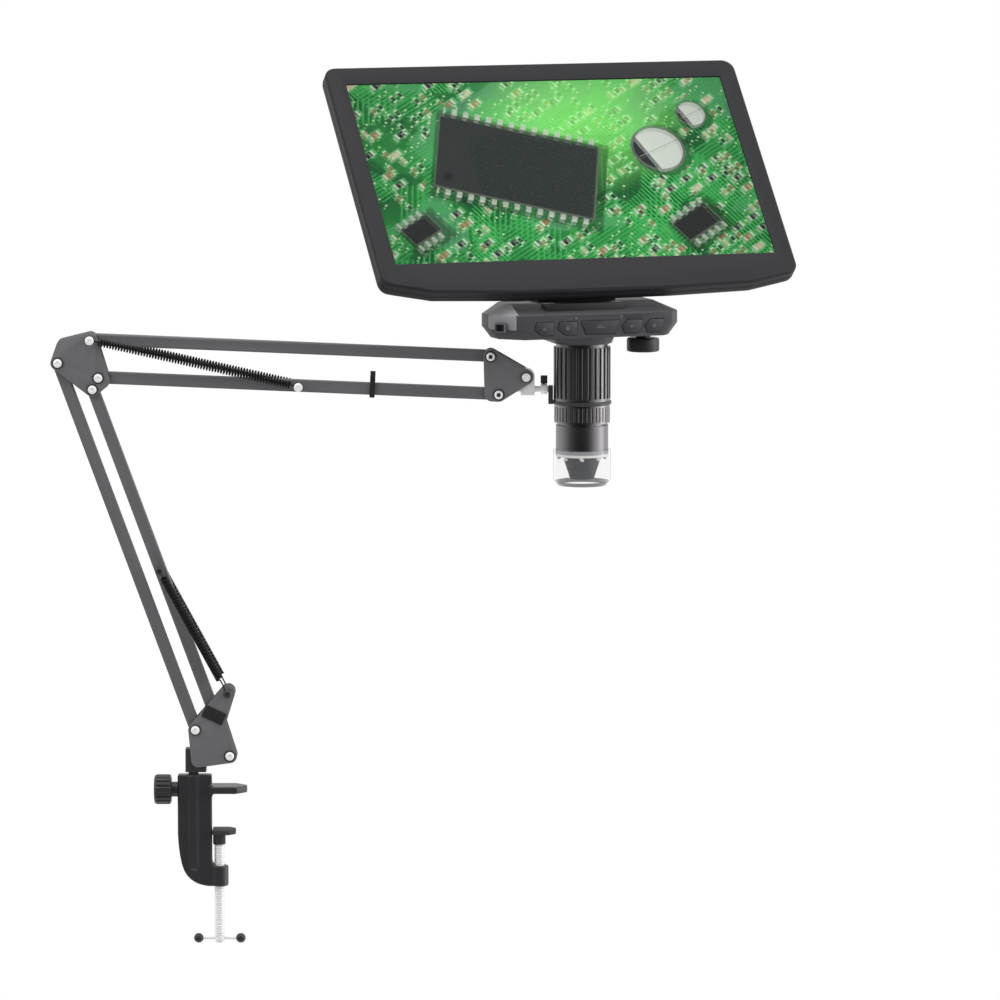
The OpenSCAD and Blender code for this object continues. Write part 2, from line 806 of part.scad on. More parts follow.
module upper_barrel() {
    color("#555559") scope_place() {
        difference() {
            sleeve(barrel_r, bore_r, barrel_z0, barrel_z1);
            flute_cuts(flutes, barrel_r + flute_cut_r - flute_d, flute_cut_r,
                barrel_z0 + flute_end, barrel_z1 + over);
        }
        sleeve(top_neck_r, bore_r, barrel_z1 - over, console_z0);
        sleeve(neck_r, bore_r, lower_z1, barrel_z0 + over);
    }
}

camera_drop = 12;
camera_z = barrel_z1 - camera_drop;
camera_t = 1.6;
sensor_w = 9;
sensor_t = 2;

module camera_board() {
    color("#1f6b3a") scope_place() {
        translate([0, 0, camera_z]) cylinder(r = bore_r - gap, h = camera_t);
        translate([-sensor_w / 2, -sensor_w / 2, camera_z - sensor_t]) cube([sensor_w, sensor_w, sensor_t]);
    }
}

lens_r = 8;
lens_t = 3.2;
carriage_h = 13;
carriage_drop = 2;
carriage_z = lower_z1 - carriage_drop;
lens_lift = 1;
lens_ring_t = 1;

module lens_carriage() {
    color("#2c2c2e") scope_place() {
        sleeve(bore_r - fit, lens_r, carriage_z, carriage_z + carriage_h);
        sleeve(lens_r + fit, nose_r, carriage_z + lens_lift + lens_t,
            carriage_z + lens_lift + lens_t + lens_ring_t);
    }
}

module objective_lens() {
    color("#a8c8d8") scope_place() intersection() {
        translate([0, 0, carriage_z + lens_lift]) cylinder(r = lens_r, h = lens_t);
        translate([0, 0, carriage_z + lens_lift + lens_t - 2 * lens_r]) sphere(r = 2 * lens_r);
    }
}

focus_cut_r = 0.7;
focus_band = 1;

module focus_ring() {
    color("#3a3a3d") scope_place() difference() {
        sleeve(focus_r, neck_r + fit, focus_z0, focus_z1);
        flute_cuts(focus_ribs, focus_r + focus_cut_r / 2, focus_cut_r,
            focus_z0 + focus_band, focus_z1 - focus_band);
    }
}

module lower_barrel() {
    color("#4a4a4e") scope_place() sleeve(lower_r, bore_r, lower_z0, lower_z1);
}

light_board_t = 1.4;
led_count = 8;
led_r = 1.1;
led_ring_r = 12.6;
nose_top_r = 10.8;
nose_bore_r = 5.2;

module light_board() {
    color("#e8e8e4") scope_place() {
        sleeve(hood_r - hood_wall - gap, nose_bore_r, lower_z0 - light_board_t, lower_z0);
        for (i = [0 : led_count - 1]) rotate(360 * (i + 1 / 2) / led_count)
            translate([led_ring_r, 0, lower_z0 - light_board_t - led_r])
                cylinder(r = led_r, h = led_r + gap, $fn = 16);
    }
}

module lens_nose() {
    color("#161616") scope_place() translate([0, 0, lower_z0 - light_board_t - nose_h]) difference() {
        cylinder(r1 = nose_r, r2 = nose_top_r, h = nose_h);
        translate([0, 0, -over]) cylinder(r = nose_bore_r, h = nose_h + 2 * over);
    }
}

hood_grip = 2.2;

// Profile of the hood: its grip on the lower barrel, its wall and its cone
module light_hood() {
    top = lower_z0 + hood_grip;
    cone = hood_z0 + hood_cone;
    bore = hood_r - hood_wall;
    color("#dfe6ea", 0.4) scope_place() rotate_extrude()
        polygon([[hood_r, top], [lower_r + fit, top], [lower_r + fit, lower_z0], [bore, lower_z0],
            [bore, cone], [bore - hood_in, hood_z0], [hood_r - hood_in, hood_z0], [hood_r, cone]]);
}

end_share = 0.8;

// Plan of the console, drawn in by an inset on every side
module console_plan(inset = 0, ends = 0) {
    l = console_left - inset - ends;
    r = console_right - inset - ends;
    f = console_front - inset;
    b = console_rear - inset;
    polygon([[-l, -f + left_cut], [-l + left_cut, -f], [r - right_cut, -f], [r, -f + right_cut],
        [r, b - left_cut], [r - left_cut, b], [-l + 2 * left_cut, b], [-l, b - 2 * left_cut]]);
}

// Roof of the console, drawn in from its front and its ends
module roof_plan(inset = 0) {
    l = console_left - roof_side - inset;
    r = console_right - roof_side - inset;
    f = console_front - roof_front - inset;
    b = console_rear - left_cut / 2 - inset;
    polygon([[-l, -f], [r, -f], [r, b], [-l + left_cut, b], [-l, b - left_cut]]);
}

// The console as one convex form, or its inside when it is drawn in
module console_form(inset = 0, floor = 0) {
    hull() {
        translate([0, 0, console_z0 + floor]) linear_extrude(sliver) console_plan(inset, end_cut * end_share);
        translate([0, 0, console_z0 + end_cut]) linear_extrude(console_h - end_cut) console_plan(inset);
        translate([0, 0, roof_z - inset - sliver]) linear_extrude(sliver) roof_plan(inset);
    }
}

collar_x = -20;
collar_side_r = 10;
collar_top_r = 18.4;
collar_low_r = 16.4;

// Collar that flares from the barrel into the console's underside
module console_collar() {
    hull() {
        translate([0, 0, console_z0 - collar_h]) cylinder(r = collar_low_r, h = sliver, $fn = small_fn);
        translate([0, 0, console_z0]) cylinder(r = collar_top_r, h = sliver, $fn = small_fn);
        translate([collar_x, 0, console_z0]) cylinder(r = collar_side_r, h = sliver, $fn = small_fn);
    }
}

split_y = 0;
button_x = [-37.5, -24.1, -10.5, 13.4, 26.9];
button_w = [10.9, 11.3, 22.5, 12, 10.9];
notched_shares = [[0, 0.45], [0.12, 1], [1, 1], [1, 0], [0.4, 0]];
wide_shares = [[0, 1], [1, 1], [0.87, 0], [0.13, 0]];
slanted_shares = [[0, 0.55], [0.3, 1], [1, 1], [1, 0.45], [0.8, 0], [0.14, 0]];
button_shares = [notched_shares, notched_shares, wide_shares, slanted_shares, slanted_shares];
button_proud = 0.5;
flange_t = 1;
flange_grow = 0.7;
floor_t = 1.2;
stem_r = 1.5;
board_y = -19.2;
board_t = 1.6;
switch_h = 0.9;
light_x = [-13.5, 13.1];
light_drop = 2.2;
light_r = 0.8;
socket_w = 6;
socket_h = 5;
socket_wall = 0.6;
socket_depth = 6;
block_x0 = -29;
block_x1 = 16.5;
block_front = 22;
dial_y = -4;
dial_neck_r = 4.1;
dial_neck_h = 6.1;
dial_stem_r = 2;
dial_cut_r = 1.26;
dial_cut_off = 0.9;
dial_band = 1;

// Outline of a button, grown by a margin
module button_outline(i, grow = 0) {
    w = button_w[i] + 2 * grow;
    h = button_h + 2 * grow;
    translate([button_x[i] - grow, console_z1 - button_drop - button_h - grow])
        polygon([for (s = button_shares[i]) [s[0] * w, s[1] * h]]);
}

// Where the side socket sits: the middle of the console's left slanted corner
module socket_place() {
    translate([-console_left + left_cut / 2, -console_front + left_cut / 2,
        console_z1 - button_drop - socket_h / 2]) rotate([0, 0, -45]) children();
}

module console_cuts() {
    for (i = [0 : len(button_x) - 1])
        slab(-console_front - over, -console_front + shell_t + over) button_outline(i, gap);
    for (x = light_x) across([x, console_z1 - light_drop], light_r + fit, -console_front - over, board_y);
    socket_place() cube([socket_w, socket_depth, socket_h], center = true);
    translate([block_x0, -block_front, console_z1])
        cube([block_x1 - block_x0, block_front - console_front + roof_front + over, roof_h + over]);
    translate([0, 0, console_z0 - collar_h - over])
        cylinder(r = top_neck_r, h = collar_h + shell_t + 2 * over);
    translate([dial_x, dial_y, console_z0 - over]) cylinder(r = dial_stem_r + fit, h = shell_t + 2 * over);
}

module console_shell() {
    difference() {
        union() {
            difference() {
                console_form();
                console_form(shell_t, floor_t);
            }
            console_collar();
        }
        console_cuts();
    }
}

module console_front_shell() {
    color("#4e4c4f") scope_place() intersection() {
        console_shell();
        translate([-2 * console_left, split_y - 2 * console_front, console_z0 - 2 * collar_h])
            cube([4 * console_left, 2 * console_front, 4 * console_h]);
    }
}

module console_rear_shell() {
    color("#4a484b") scope_place() intersection() {
        console_shell();
        translate([-2 * console_left, split_y, console_z0 - 2 * collar_h])
            cube([4 * console_left, 2 * console_front, 4 * console_h]);
    }
}

board_x0 = -43;
board_x1 = 36;
board_h = 9.6;

module control_board() {
    color("#1f6b3a") scope_place() {
        translate([board_x0, board_y, console_z0 + floor_t]) cube([board_x1 - board_x0, board_t, board_h]);
        for (i = [0 : len(button_x) - 1])
            across([button_x[i] + button_w[i] / 2, console_z1 - button_drop - button_h / 2], stem_r + gap,
                board_y - switch_h, board_y + board_t / 2, bolt_fn);
    }
}

module side_socket() {
    color("#b8b8bc") scope_place() socket_place() difference() {
        cube([socket_w, socket_depth, socket_h], center = true);
        translate([0, -over, 0]) cube([socket_w - 2 * socket_wall, socket_depth, socket_h - 2 * socket_wall],
            center = true);
    }
}

module status_lights() {
    color("#e8e8e4") scope_place() for (x = light_x)
        across([x, console_z1 - light_drop], light_r, -console_front - sliver, board_y, bolt_fn);
}

// A push button: its cap in the window, its flange behind the wall and its stem to the switch
module button(i) {
    back = -console_front + shell_t + gap;
    color("#454346") scope_place() {
        slab(-console_front - button_proud, back) button_outline(i);
        slab(back, back + flange_t) button_outline(i, flange_grow);
        across([button_x[i] + button_w[i] / 2, console_z1 - button_drop - button_h / 2], stem_r,
            back + flange_t / 2, board_y - switch_h - button_travel - gap, bolt_fn);
    }
}

module button_1() { button(0); }
module button_2() { button(1); }
module button_3() { button(2); }
module button_4() { button(3); }
module button_5() { button(4); }

module brightness_dial() {
    color("#1c1c1e") scope_place() translate([dial_x, dial_y, console_z0 - gap]) {
        difference() {
            translate([0, 0, -dial_neck_h - dial_h]) cylinder(r = dial_r, h = dial_h);
            flute_cuts(flutes, dial_r + dial_cut_off, dial_cut_r,
                -dial_neck_h - dial_h + dial_band, -dial_neck_h + over);
        }
        translate([0, 0, -dial_neck_h - over]) cylinder(r = dial_neck_r, h = dial_neck_h + over);
        cylinder(r = dial_stem_r, h = shell_t + 2 * over);
    }
}

knuckle_w = 5;
knuckle_in = 11;
hinge_t = 1.4;
hinge_y0 = -8;
hinge_z = roof_z + hinge_up;

// A disc or bar along the microscope's X axis, at a [y, z] point
module along(p, r, from, to, sides = small_fn) {
    translate([from, p[0], p[1]]) rotate([0, 90, 0]) cylinder(r = r, h = to - from, $fn = sides);
}

module hinge_base() {
    color("#3f3d40") scope_place() difference() {
        union() {
            translate([block_x0, -block_front, console_z1])
                cube([block_x1 - block_x0, block_front - console_front + roof_front, roof_h]);
            translate([block_x0, hinge_y0, roof_z])
                cube([block_x1 - block_x0, hinge_back + knuckle_r - hinge_y0, hinge_t]);
            for (side = [-1, 1]) {
                x0 = side < 0 ? -knuckle_in - gap - knuckle_w : knuckle_in + gap;
                along([hinge_back, hinge_z], knuckle_r, x0, x0 + knuckle_w);
                translate([x0, hinge_back - knuckle_r, roof_z])
                    cube([knuckle_w, 2 * knuckle_r, hinge_up]);
            }
        }
        along([hinge_back, hinge_z], pin_r, -2 * knuckle_in, 2 * knuckle_in);
    }
}

module hinge_pin() {
    color("#c9cacc") scope_place()
        along([hinge_back, hinge_z], pin_r, -knuckle_in - gap - knuckle_w, knuckle_in + gap + knuckle_w);
}

// The display's own frame: X across, Z up the picture, Y back from its front face
screen_back = screen_h / 2 * sin(display_lean) - picture_front;
screen_z = console_z1 + picture_up + screen_h / 2 * cos(display_lean);

module display_place() {
    scope_place() translate([0, screen_back, screen_z]) rotate([-display_lean, 0, 0]) children();
}

half_w = screen_w / 2 + side_rim;
display_top = screen_h / 2 + top_rim;
display_foot = screen_h / 2 + foot_rim;
chin_shares = [[0.97, 0.12], [0.8, 0.72], [0.4, 0.96], [0, 1]];

// Outline of the display, with round corners and a bulging chin
module display_outline(inset = 0) {
    w = half_w - corner_r;
    chin = [for (s = chin_shares) [s[0] * w, corner_r - display_foot - s[1] * chin_h]];
    left = [for (i = [len(chin) - 2 : -1 : 0]) [-chin[i][0], chin[i][1]]];
    rounded(concat([[-w, display_top - corner_r], [w, display_top - corner_r],
        [w, corner_r - display_foot]], chin, left, [[-w, corner_r - display_foot]]), corner_r - inset);
}

bezel_t = 4;
lip_t = 1.2;
glass_t = 1;
glass_grow = 3;
panel_t = 3;
panel_grow = 4;
front_round = 1;
edge_steps = 4;
hump_w = 164;
hump_z0 = -34;
hump_z1 = 44;

module screen_rect(grow, from, to) {
    translate([-screen_w / 2 - grow, from, -screen_h / 2 - grow])
        cube([screen_w + 2 * grow, to - from, screen_h + 2 * grow]);
}

module display_bezel() {
    color("#434145") display_place() difference() {
        hull() {
            slab(0, sliver) display_outline(front_round);
            slab(front_round, bezel_t) display_outline();
        }
        screen_rect(0, -over, bezel_t + over);
        screen_rect(panel_grow + gap, lip_t, bezel_t + over);
    }
}

module cover_glass() {
    color("#20242a") display_place() screen_rect(glass_grow, lip_t, lip_t + glass_t);
}

module lcd_panel() {
    color("#2f9a52") display_place() screen_rect(panel_grow, lip_t + glass_t, lip_t + glass_t + panel_t);
}

back_board_w = 96;
back_board_h = 54;
chip_w = 12;
chip_h = 1.4;

module display_board() {
    from = lip_t + glass_t + panel_t;
    color("#1f6b3a") display_place() {
        translate([-back_board_w / 2, from, -back_board_h / 2])
            cube([back_board_w, board_t, back_board_h]);
        for (x = [-1, 0, 1]) translate([x * 2 * chip_w - chip_w / 2, from + board_t, -chip_w / 2])
            cube([chip_w, chip_h, chip_w]);
    }
}

// The hinge's axis in the display's frame, as [y, z]
hinge_dy = hinge_back - screen_back;
hinge_dz = hinge_z - screen_z;
hinge_at = [hinge_dy * cos(display_lean) - hinge_dz * sin(display_lean),
    hinge_dy * sin(display_lean) + hinge_dz * cos(display_lean)];
hump_slope = 3;
vent_count = 14;
vent_w = 2;
vent_h = 12;
vent_pitch = 6;

module hump(inset, to) {
    hull() {
        translate([-hump_w / 2 + inset, display_t - over, hump_z0 + inset])
            cube([hump_w - 2 * inset, over, hump_z1 - hump_z0 - 2 * inset]);
        translate([-hump_w / 2 + hump_slope + inset, display_t - over, hump_z0 + hump_slope + inset])
            cube([hump_w - 2 * hump_slope - 2 * inset, over + to,
                hump_z1 - hump_z0 - 2 * hump_slope - 2 * inset]);
    }
}

module display_back() {
    color("#3a383b") display_place() difference() {
        union() {
            hull() for (i = [0 : edge_steps]) let(a = 90 * i / edge_steps)
                slab(i == 0 ? bezel_t : display_t - edge_r + edge_r * sin(a) - sliver,
                    display_t - edge_r + edge_r * sin(a)) display_outline(edge_r * (1 - cos(a)));
            hump(0, hump_t);
            hull() {
                along(hinge_at, knuckle_r, -knuckle_in, knuckle_in);
                translate([-knuckle_in, display_t - over, hinge_at[1] - knuckle_r])
                    cube([2 * knuckle_in, over, 2 * knuckle_r + 2 * shell_t]);
            }
        }
        screen_rect(panel_grow + gap, bezel_t - over, display_t - shell_t);
        hump(shell_t, hump_t - shell_t);
        along(hinge_at, pin_r + fit, -2 * knuckle_in, 2 * knuckle_in);
        for (i = [0 : vent_count - 1])
            translate([(i - (vent_count - 1) / 2) * vent_pitch - vent_w / 2, display_t, hump_z1 - vent_h * 2])
                cube([vent_w, 2 * hump_t, vent_h]);
    }
}

clamp_body();
pressure_pad();
clamp_screw();
cross_bar();
cross_bar_balls();
lock_knob();
swivel_shaft();
base_plate_front();
base_plate_rear();
base_bolts();
ear_bands();
lower_bar_left();
lower_bar_right();
lower_spring_pin();
lower_spring_front();
lower_spring_rear();
elbow_plate_front();
elbow_plate_rear();
elbow_bolts();
upper_bar_top();
upper_bar_bottom();
upper_spring_pin();
cable_clip();
upper_spring_front();
upper_spring_rear();
end_plate_front();
end_plate_rear();
end_bolts();
tilt_block();
tip_bolt();
thumb_screw();
holder_rod();
holder_ring();
upper_barrel();
camera_board();
lens_carriage();
objective_lens();
focus_ring();
lower_barrel();
light_board();
lens_nose();
light_hood();
console_front_shell();
console_rear_shell();
control_board();
side_socket();
status_lights();
button_1();
button_2();
button_3();
button_4();
button_5();
brightness_dial();
hinge_base();
hinge_pin();
display_bezel();
display_back();
lcd_panel();
cover_glass();
display_board();
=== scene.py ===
import json
import math

import bmesh
import bpy
from mathutils import Matrix, Vector
from mathutils.bvhtree import BVHTree


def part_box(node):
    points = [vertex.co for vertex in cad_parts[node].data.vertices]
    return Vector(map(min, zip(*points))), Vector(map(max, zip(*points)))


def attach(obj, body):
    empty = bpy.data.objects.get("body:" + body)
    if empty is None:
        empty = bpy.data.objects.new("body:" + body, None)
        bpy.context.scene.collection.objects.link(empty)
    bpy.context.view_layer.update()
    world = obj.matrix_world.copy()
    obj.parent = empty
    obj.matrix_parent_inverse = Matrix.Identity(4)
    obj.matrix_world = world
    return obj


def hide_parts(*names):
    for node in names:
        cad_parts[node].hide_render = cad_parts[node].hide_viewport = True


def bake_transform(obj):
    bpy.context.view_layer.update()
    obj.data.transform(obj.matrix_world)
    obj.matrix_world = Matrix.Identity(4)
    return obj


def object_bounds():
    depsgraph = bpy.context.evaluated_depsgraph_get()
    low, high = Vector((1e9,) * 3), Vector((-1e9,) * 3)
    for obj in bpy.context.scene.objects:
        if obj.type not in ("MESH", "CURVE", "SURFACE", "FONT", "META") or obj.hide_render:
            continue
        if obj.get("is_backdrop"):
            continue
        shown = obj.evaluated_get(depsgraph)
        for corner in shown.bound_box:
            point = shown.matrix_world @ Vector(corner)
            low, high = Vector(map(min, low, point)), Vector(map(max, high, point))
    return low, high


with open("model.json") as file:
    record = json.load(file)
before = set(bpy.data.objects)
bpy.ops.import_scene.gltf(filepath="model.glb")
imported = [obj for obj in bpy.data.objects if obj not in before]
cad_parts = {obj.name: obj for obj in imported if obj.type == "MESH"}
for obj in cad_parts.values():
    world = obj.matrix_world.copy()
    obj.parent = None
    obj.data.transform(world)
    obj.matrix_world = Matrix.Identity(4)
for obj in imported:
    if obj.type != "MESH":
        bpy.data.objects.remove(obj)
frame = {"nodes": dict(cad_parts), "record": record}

CAD_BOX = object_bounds()
MM = 0.001
# Points of a CAD mesh closer than this are the same point
WELD = 0.002 * MM

# Camera: the photograph looks along +Y from a little above, with a long lens
CAMERA_TARGET = Vector((149.7, 0, 163.4)) * MM
CAMERA_DISTANCE = 3.8
CAMERA_RISE = math.radians(7)
CAMERA_LENS = 247.6

# The microscope's turn about its own axis and the display's lean
HEAD_YAW = math.radians(20)
DISPLAY_LEAN = math.radians(42)


def centre(node):
    low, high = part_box(node)
    return (low + high) / 2


def as_mesh(work, name):
    """A mesh of what was built in a bmesh, which is freed."""
    made = bpy.data.meshes.new(name)
    work.to_mesh(made)
    work.free()
    return made


def islands(node):
    """Boxes of a node's separate solids, as (low, high), from left to right, then upward and backward."""
    mesh = bmesh.new()
    mesh.from_mesh(frame["nodes"][node].data)
    bmesh.ops.remove_doubles(mesh, verts=mesh.verts, dist=WELD)
    left, found = set(mesh.verts), []
    while left:
        stack, group = [left.pop()], []
        while stack:
            vert = stack.pop()
            group.append(vert.co.copy())
            for edge in vert.link_edges:
                other = edge.other_vert(vert)
                if other in left:
                    left.remove(other)
                    stack.append(other)
        low = Vector(min(p[i] for p in group) for i in range(3))
        high = Vector(max(p[i] for p in group) for i in range(3))
        found.append((low, high))
    mesh.free()
    return sorted(found, key=lambda b: (round(b[0].x, 5), b[0].z, b[0].y))


SCOPE_X = centre("focus_ring").x
HEAD = Matrix.Translation((SCOPE_X, 0, 0)) @ Matrix.Rotation(HEAD_YAW, 4, "Z")

# The console's and the display's own axes: across them, out of the console's front wall, and up and
# behind the leaning display
ACROSS, OUT = HEAD.to_3x3() @ Vector((1, 0, 0)), HEAD.to_3x3() @ Vector((0, -1, 0))
UP = HEAD.to_3x3() @ Vector((0, math.sin(DISPLAY_LEAN), math.cos(DISPLAY_LEAN)))
BEHIND = HEAD.to_3x3() @ Vector((0, math.cos(DISPLAY_LEAN), -math.sin(DISPLAY_LEAN)))


class Wire:
    """A value in a material's nodes. Arithmetic on it adds Math nodes."""

    def __init__(self, finish, socket):
        self.finish, self.socket = finish, socket

    def sum_of(self, operation, *values):
        return self.finish.add("ShaderNodeMath", {"operation": operation}, dict(enumerate(values)))

    def __add__(self, other):
        return self.sum_of("ADD", self, other)

    def __sub__(self, other):
        return self.sum_of("SUBTRACT", self, other)

    def __rsub__(self, other):
        return self.sum_of("SUBTRACT", other, self)

    def __mul__(self, other):
        return self.sum_of("MULTIPLY", self, other)

    def __truediv__(self, other):
        return self.sum_of("DIVIDE", self, other)

    def __lt__(self, other):
        return self.sum_of("LESS_THAN", self, other)

    def __gt__(self, other):
        return self.sum_of("GREATER_THAN", self, other)

    def __abs__(self):
        return self.sum_of("ABSOLUTE", self)

    def part(self):
        return self.sum_of("FRACT", self)

    def floor(self):
        return self.sum_of("FLOOR", self)

    def clamped(self):
        return self.sum_of("MINIMUM", self.sum_of("MAXIMUM", self, 0.0), 1.0)

    def larger(self, other):
        return self.sum_of("MAXIMUM", self, other)


class Finish:
    """A material made of nodes, on a Principled surface."""

    def __init__(self, name):
        self.material = bpy.data.materials.new(name)
        self.material.use_nodes = True
        self.tree = self.material.node_tree
        self.surface = next(n for n in self.tree.nodes if n.type == "BSDF_PRINCIPLED")
        self.place = self.add("ShaderNodeTexCoord", out="Object")

    def add(self, kind, settings=None, sockets=None, out=0):
        """One node: its settings first, then the values or links of its sockets."""
        node = self.tree.nodes.new(kind)
        for key, value in (settings or {}).items():
            if key == "stops":
                ramp = node.color_ramp
                while len(ramp.elements) < len(value):
                    ramp.elements.new(0.5)
                for stop, (at, colour) in zip(ramp.elements, value):
                    stop.position, stop.color = at, colour
            else:
                setattr(node, key, value)
        for key, value in (sockets or {}).items():
            self.feed(node.inputs[key], value)
        return Wire(self, node.outputs[out])

    def feed(self, socket, value):
        if isinstance(value, Wire):
            self.tree.links.new(value.socket, socket)
        elif socket.type == "RGBA" and len(value) == 3:
            socket.default_value = (*value, 1)
        else:
            socket.default_value = value

    def set(self, **values):
        """Sets or links the surface's sockets, by their names with _ for a space."""
        for key, value in values.items():
            self.feed(self.surface.inputs[key.replace("_", " ")], value)
        return self

    def noise(self, size, detail=3.0, place=None, stretch=None):
        """Noise whose grain is about size metres across."""
        place = place or self.place
        if stretch:
            place = self.add("ShaderNodeVectorMath", {"operation": "MULTIPLY"}, {0: place, 1: stretch})
        return self.add("ShaderNodeTexNoise", {"noise_dimensions": "3D"},
                        {"Vector": place, "Scale": 1 / size, "Detail": detail})

    def mix(self, share, first, second):
        return self.add("ShaderNodeMix", {"data_type": "RGBA"},
                        {0: share, 6: first, 7: second}, out=2)

    def bump(self, height, depth, strength=1.0):
        """A bump of about depth metres, on the surface's Normal."""
        return self.add("ShaderNodeBump", None,
                        {"Strength": strength, "Distance": depth, "Height": height})

    def along(self, direction, origin=(0, 0, 0)):
        """Distance from a point along a direction, in metres."""
        offset = self.add("ShaderNodeVectorMath", {"operation": "SUBTRACT"},
                          {0: self.place, 1: tuple(origin)})
        return self.add("ShaderNodeVectorMath", {"operation": "DOT_PRODUCT"},
                        {0: offset, 1: tuple(direction)}, out="Value")


def tinted(colour, by):
    return tuple(c * by for c in colour)


def srgb(red, green, blue):
    """A colour as it is seen, from 0 to 255, as linear light."""
    return tuple(((c / 255 + 0.055) / 1.055) ** 2.4 if c > 10 else c / 255 / 12.92
                 for c in (red, green, blue))


def painted(name, colour, rough=0.42, peel=0.03 * MM, grain=0.9 * MM, shine=0.5):
    """Sprayed or powder-coated metal: a fine orange peel and patches a little lighter or duller."""
    f = Finish(name)
    patches = f.noise(26 * MM, detail=4)
    peel_wire = f.noise(grain, detail=2)
    f.set(Base_Color=f.mix(patches, tinted(colour, 0.9), tinted(colour, 1.1)),
          Roughness=patches * 0.12 + (rough - 0.06) + peel_wire * 0.05,
          Normal=f.bump(peel_wire, peel), Specular_IOR_Level=shine)
    return f


def moulded(name, colour, rough=0.5, shine=0.4):
    """Moulded plastic with a spark-eroded grain and faint flow patches."""
    f = Finish(name)
    flow = f.noise(34 * MM, detail=3)
    pits = f.add("ShaderNodeTexVoronoi", {"feature": "SMOOTH_F1"},
                 {"Vector": f.place, "Scale": 1 / (0.35 * MM), "Smoothness": 0.6})
    f.set(Base_Color=f.mix(flow, tinted(colour, 0.93), tinted(colour, 1.07)),
          Roughness=flow * 0.1 + (rough - 0.05), Normal=f.bump(pits, 0.02 * MM, strength=0.7),
          Specular_IOR_Level=shine)
    return f


def machined(name, colour, rough=0.25, direction=(1, 1, 60), metal=1.0):
    """Bare or anodised metal with fine tool marks, short across the grain and long along it."""
    f = Finish(name)
    marks = f.noise(2 * MM, detail=4, stretch=tuple(1 / d * 8 for d in direction))
    smudge = f.noise(18 * MM, detail=3)
    f.set(Base_Color=f.mix(marks, tinted(colour, 0.9), tinted(colour, 1.05)),
          Roughness=smudge * 0.1 + (rough - 0.05), Metallic=metal,
          Normal=f.bump(marks, 0.004 * MM))
    return f


def rubbery(name, colour):
    """Matt rubber or woven tape: a soft grain with no gloss."""
    f = Finish(name)
    grain = f.noise(0.5 * MM, detail=3)
    dust = f.noise(14 * MM, detail=4)
    f.set(Base_Color=f.mix(dust, tinted(colour, 0.8), tinted(colour, 1.25)),
          Roughness=grain * 0.15 + 0.62, Normal=f.bump(grain, 0.05 * MM))
    return f


def clear(name, colour, opacity, waves=0.01 * MM, coat=1.0):
    """Clear plastic or glass, seen through by its opacity, with slight waves on its face."""
    f = Finish(name)
    swirl = f.noise(9 * MM, detail=2)
    f.set(Base_Color=colour, Roughness=swirl * 0.05 + 0.05, Normal=f.bump(swirl, waves),
          Alpha=opacity, IOR=1.5, Coat_Weight=coat)
    return f


def circuit(name):
    """A bare circuit board: green mask with lighter traces in rows and tinned spots."""
    f = Finish(name)
    rows = f.add("ShaderNodeTexBrick", {"offset": 0.5},
                 {"Vector": f.place, "Color1": (0.02, 0.19, 0.07, 1), "Color2": (0.03, 0.25, 0.09, 1),
                  "Mortar": (0.07, 0.38, 0.14, 1), "Scale": 1 / (9 * MM), "Mortar Size": 0.05})
    spots = f.add("ShaderNodeTexVoronoi", None, {"Vector": f.place, "Scale": 1 / (3.4 * MM)})
    f.set(Base_Color=f.mix(spots < 0.2, rows, (0.6, 0.58, 0.5)), Roughness=0.35,
          Metallic=(spots < 0.2) * 0.8)
    return f


def hood_plastic():
    """Clear moulding: greyer at its foot, with painted shade in bands at its left and right sides where the
    wall is seen edge-on, nearly unseen between.
    """
    foot_height, grip_height, edge_on_width, clearest = 2.2 * MM, 2.4 * MM, 0.45 * MM, 0.06
    f = clear("Clear hood", srgb(222, 226, 230), clearest, coat=0.6)
    low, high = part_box("light_hood")
    foot = f.along((0, 0, 1), low) < foot_height
    grip = f.along((0, 0, 1), low) > (high.z - low.z) - grip_height
    # Painted shade: a band along the hood's left and right sides, made greyer and less clear, standing in for
    # the clear wall seen edge-on
    edge_on_shade = abs(f.along((1, 0, 0), (low + high) / 2)) > (high.x - low.x) / 2 - edge_on_width
    greyed = foot.larger(edge_on_shade)
    f.set(Base_Color=f.mix(greyed, srgb(222, 226, 230), srgb(84, 86, 90)),
          Alpha=foot * 0.62 + clearest + edge_on_shade * 0.3 + grip * 0.16)
    return f


def console_plastic():
    """The console's moulding, paler on the panel at its corner, and with a painted highlight on its left
    shoulder, where light falls on its top bevel.
    """
    f = moulded("Console plastic", srgb(66, 64, 67), rough=0.46, shine=0.35)
    body = Wire(f, f.surface.inputs["Base Color"].links[0].from_socket)
    turn, axis = HEAD.to_3x3(), (SCOPE_X, 0, 0)
    panel_out, shoulder_out, shoulder_drop = 52.4 * MM, 46.5 * MM, 5.2 * MM
    corner = f.along(turn @ Vector((-1, -1, 0)).normalized(), axis) > panel_out
    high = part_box("console_front_shell")[1]
    # Painted highlight: the top of the console's left end, where light catches its bevel, made paler
    shoulder_highlight = ((f.along(turn @ Vector((-1, 0, 0)), axis) > shoulder_out)
                * (f.along((0, 0, 1), high) > -shoulder_drop))
    f.set(Base_Color=f.mix(corner.larger(shoulder_highlight), body, srgb(140, 139, 143)))
    return f


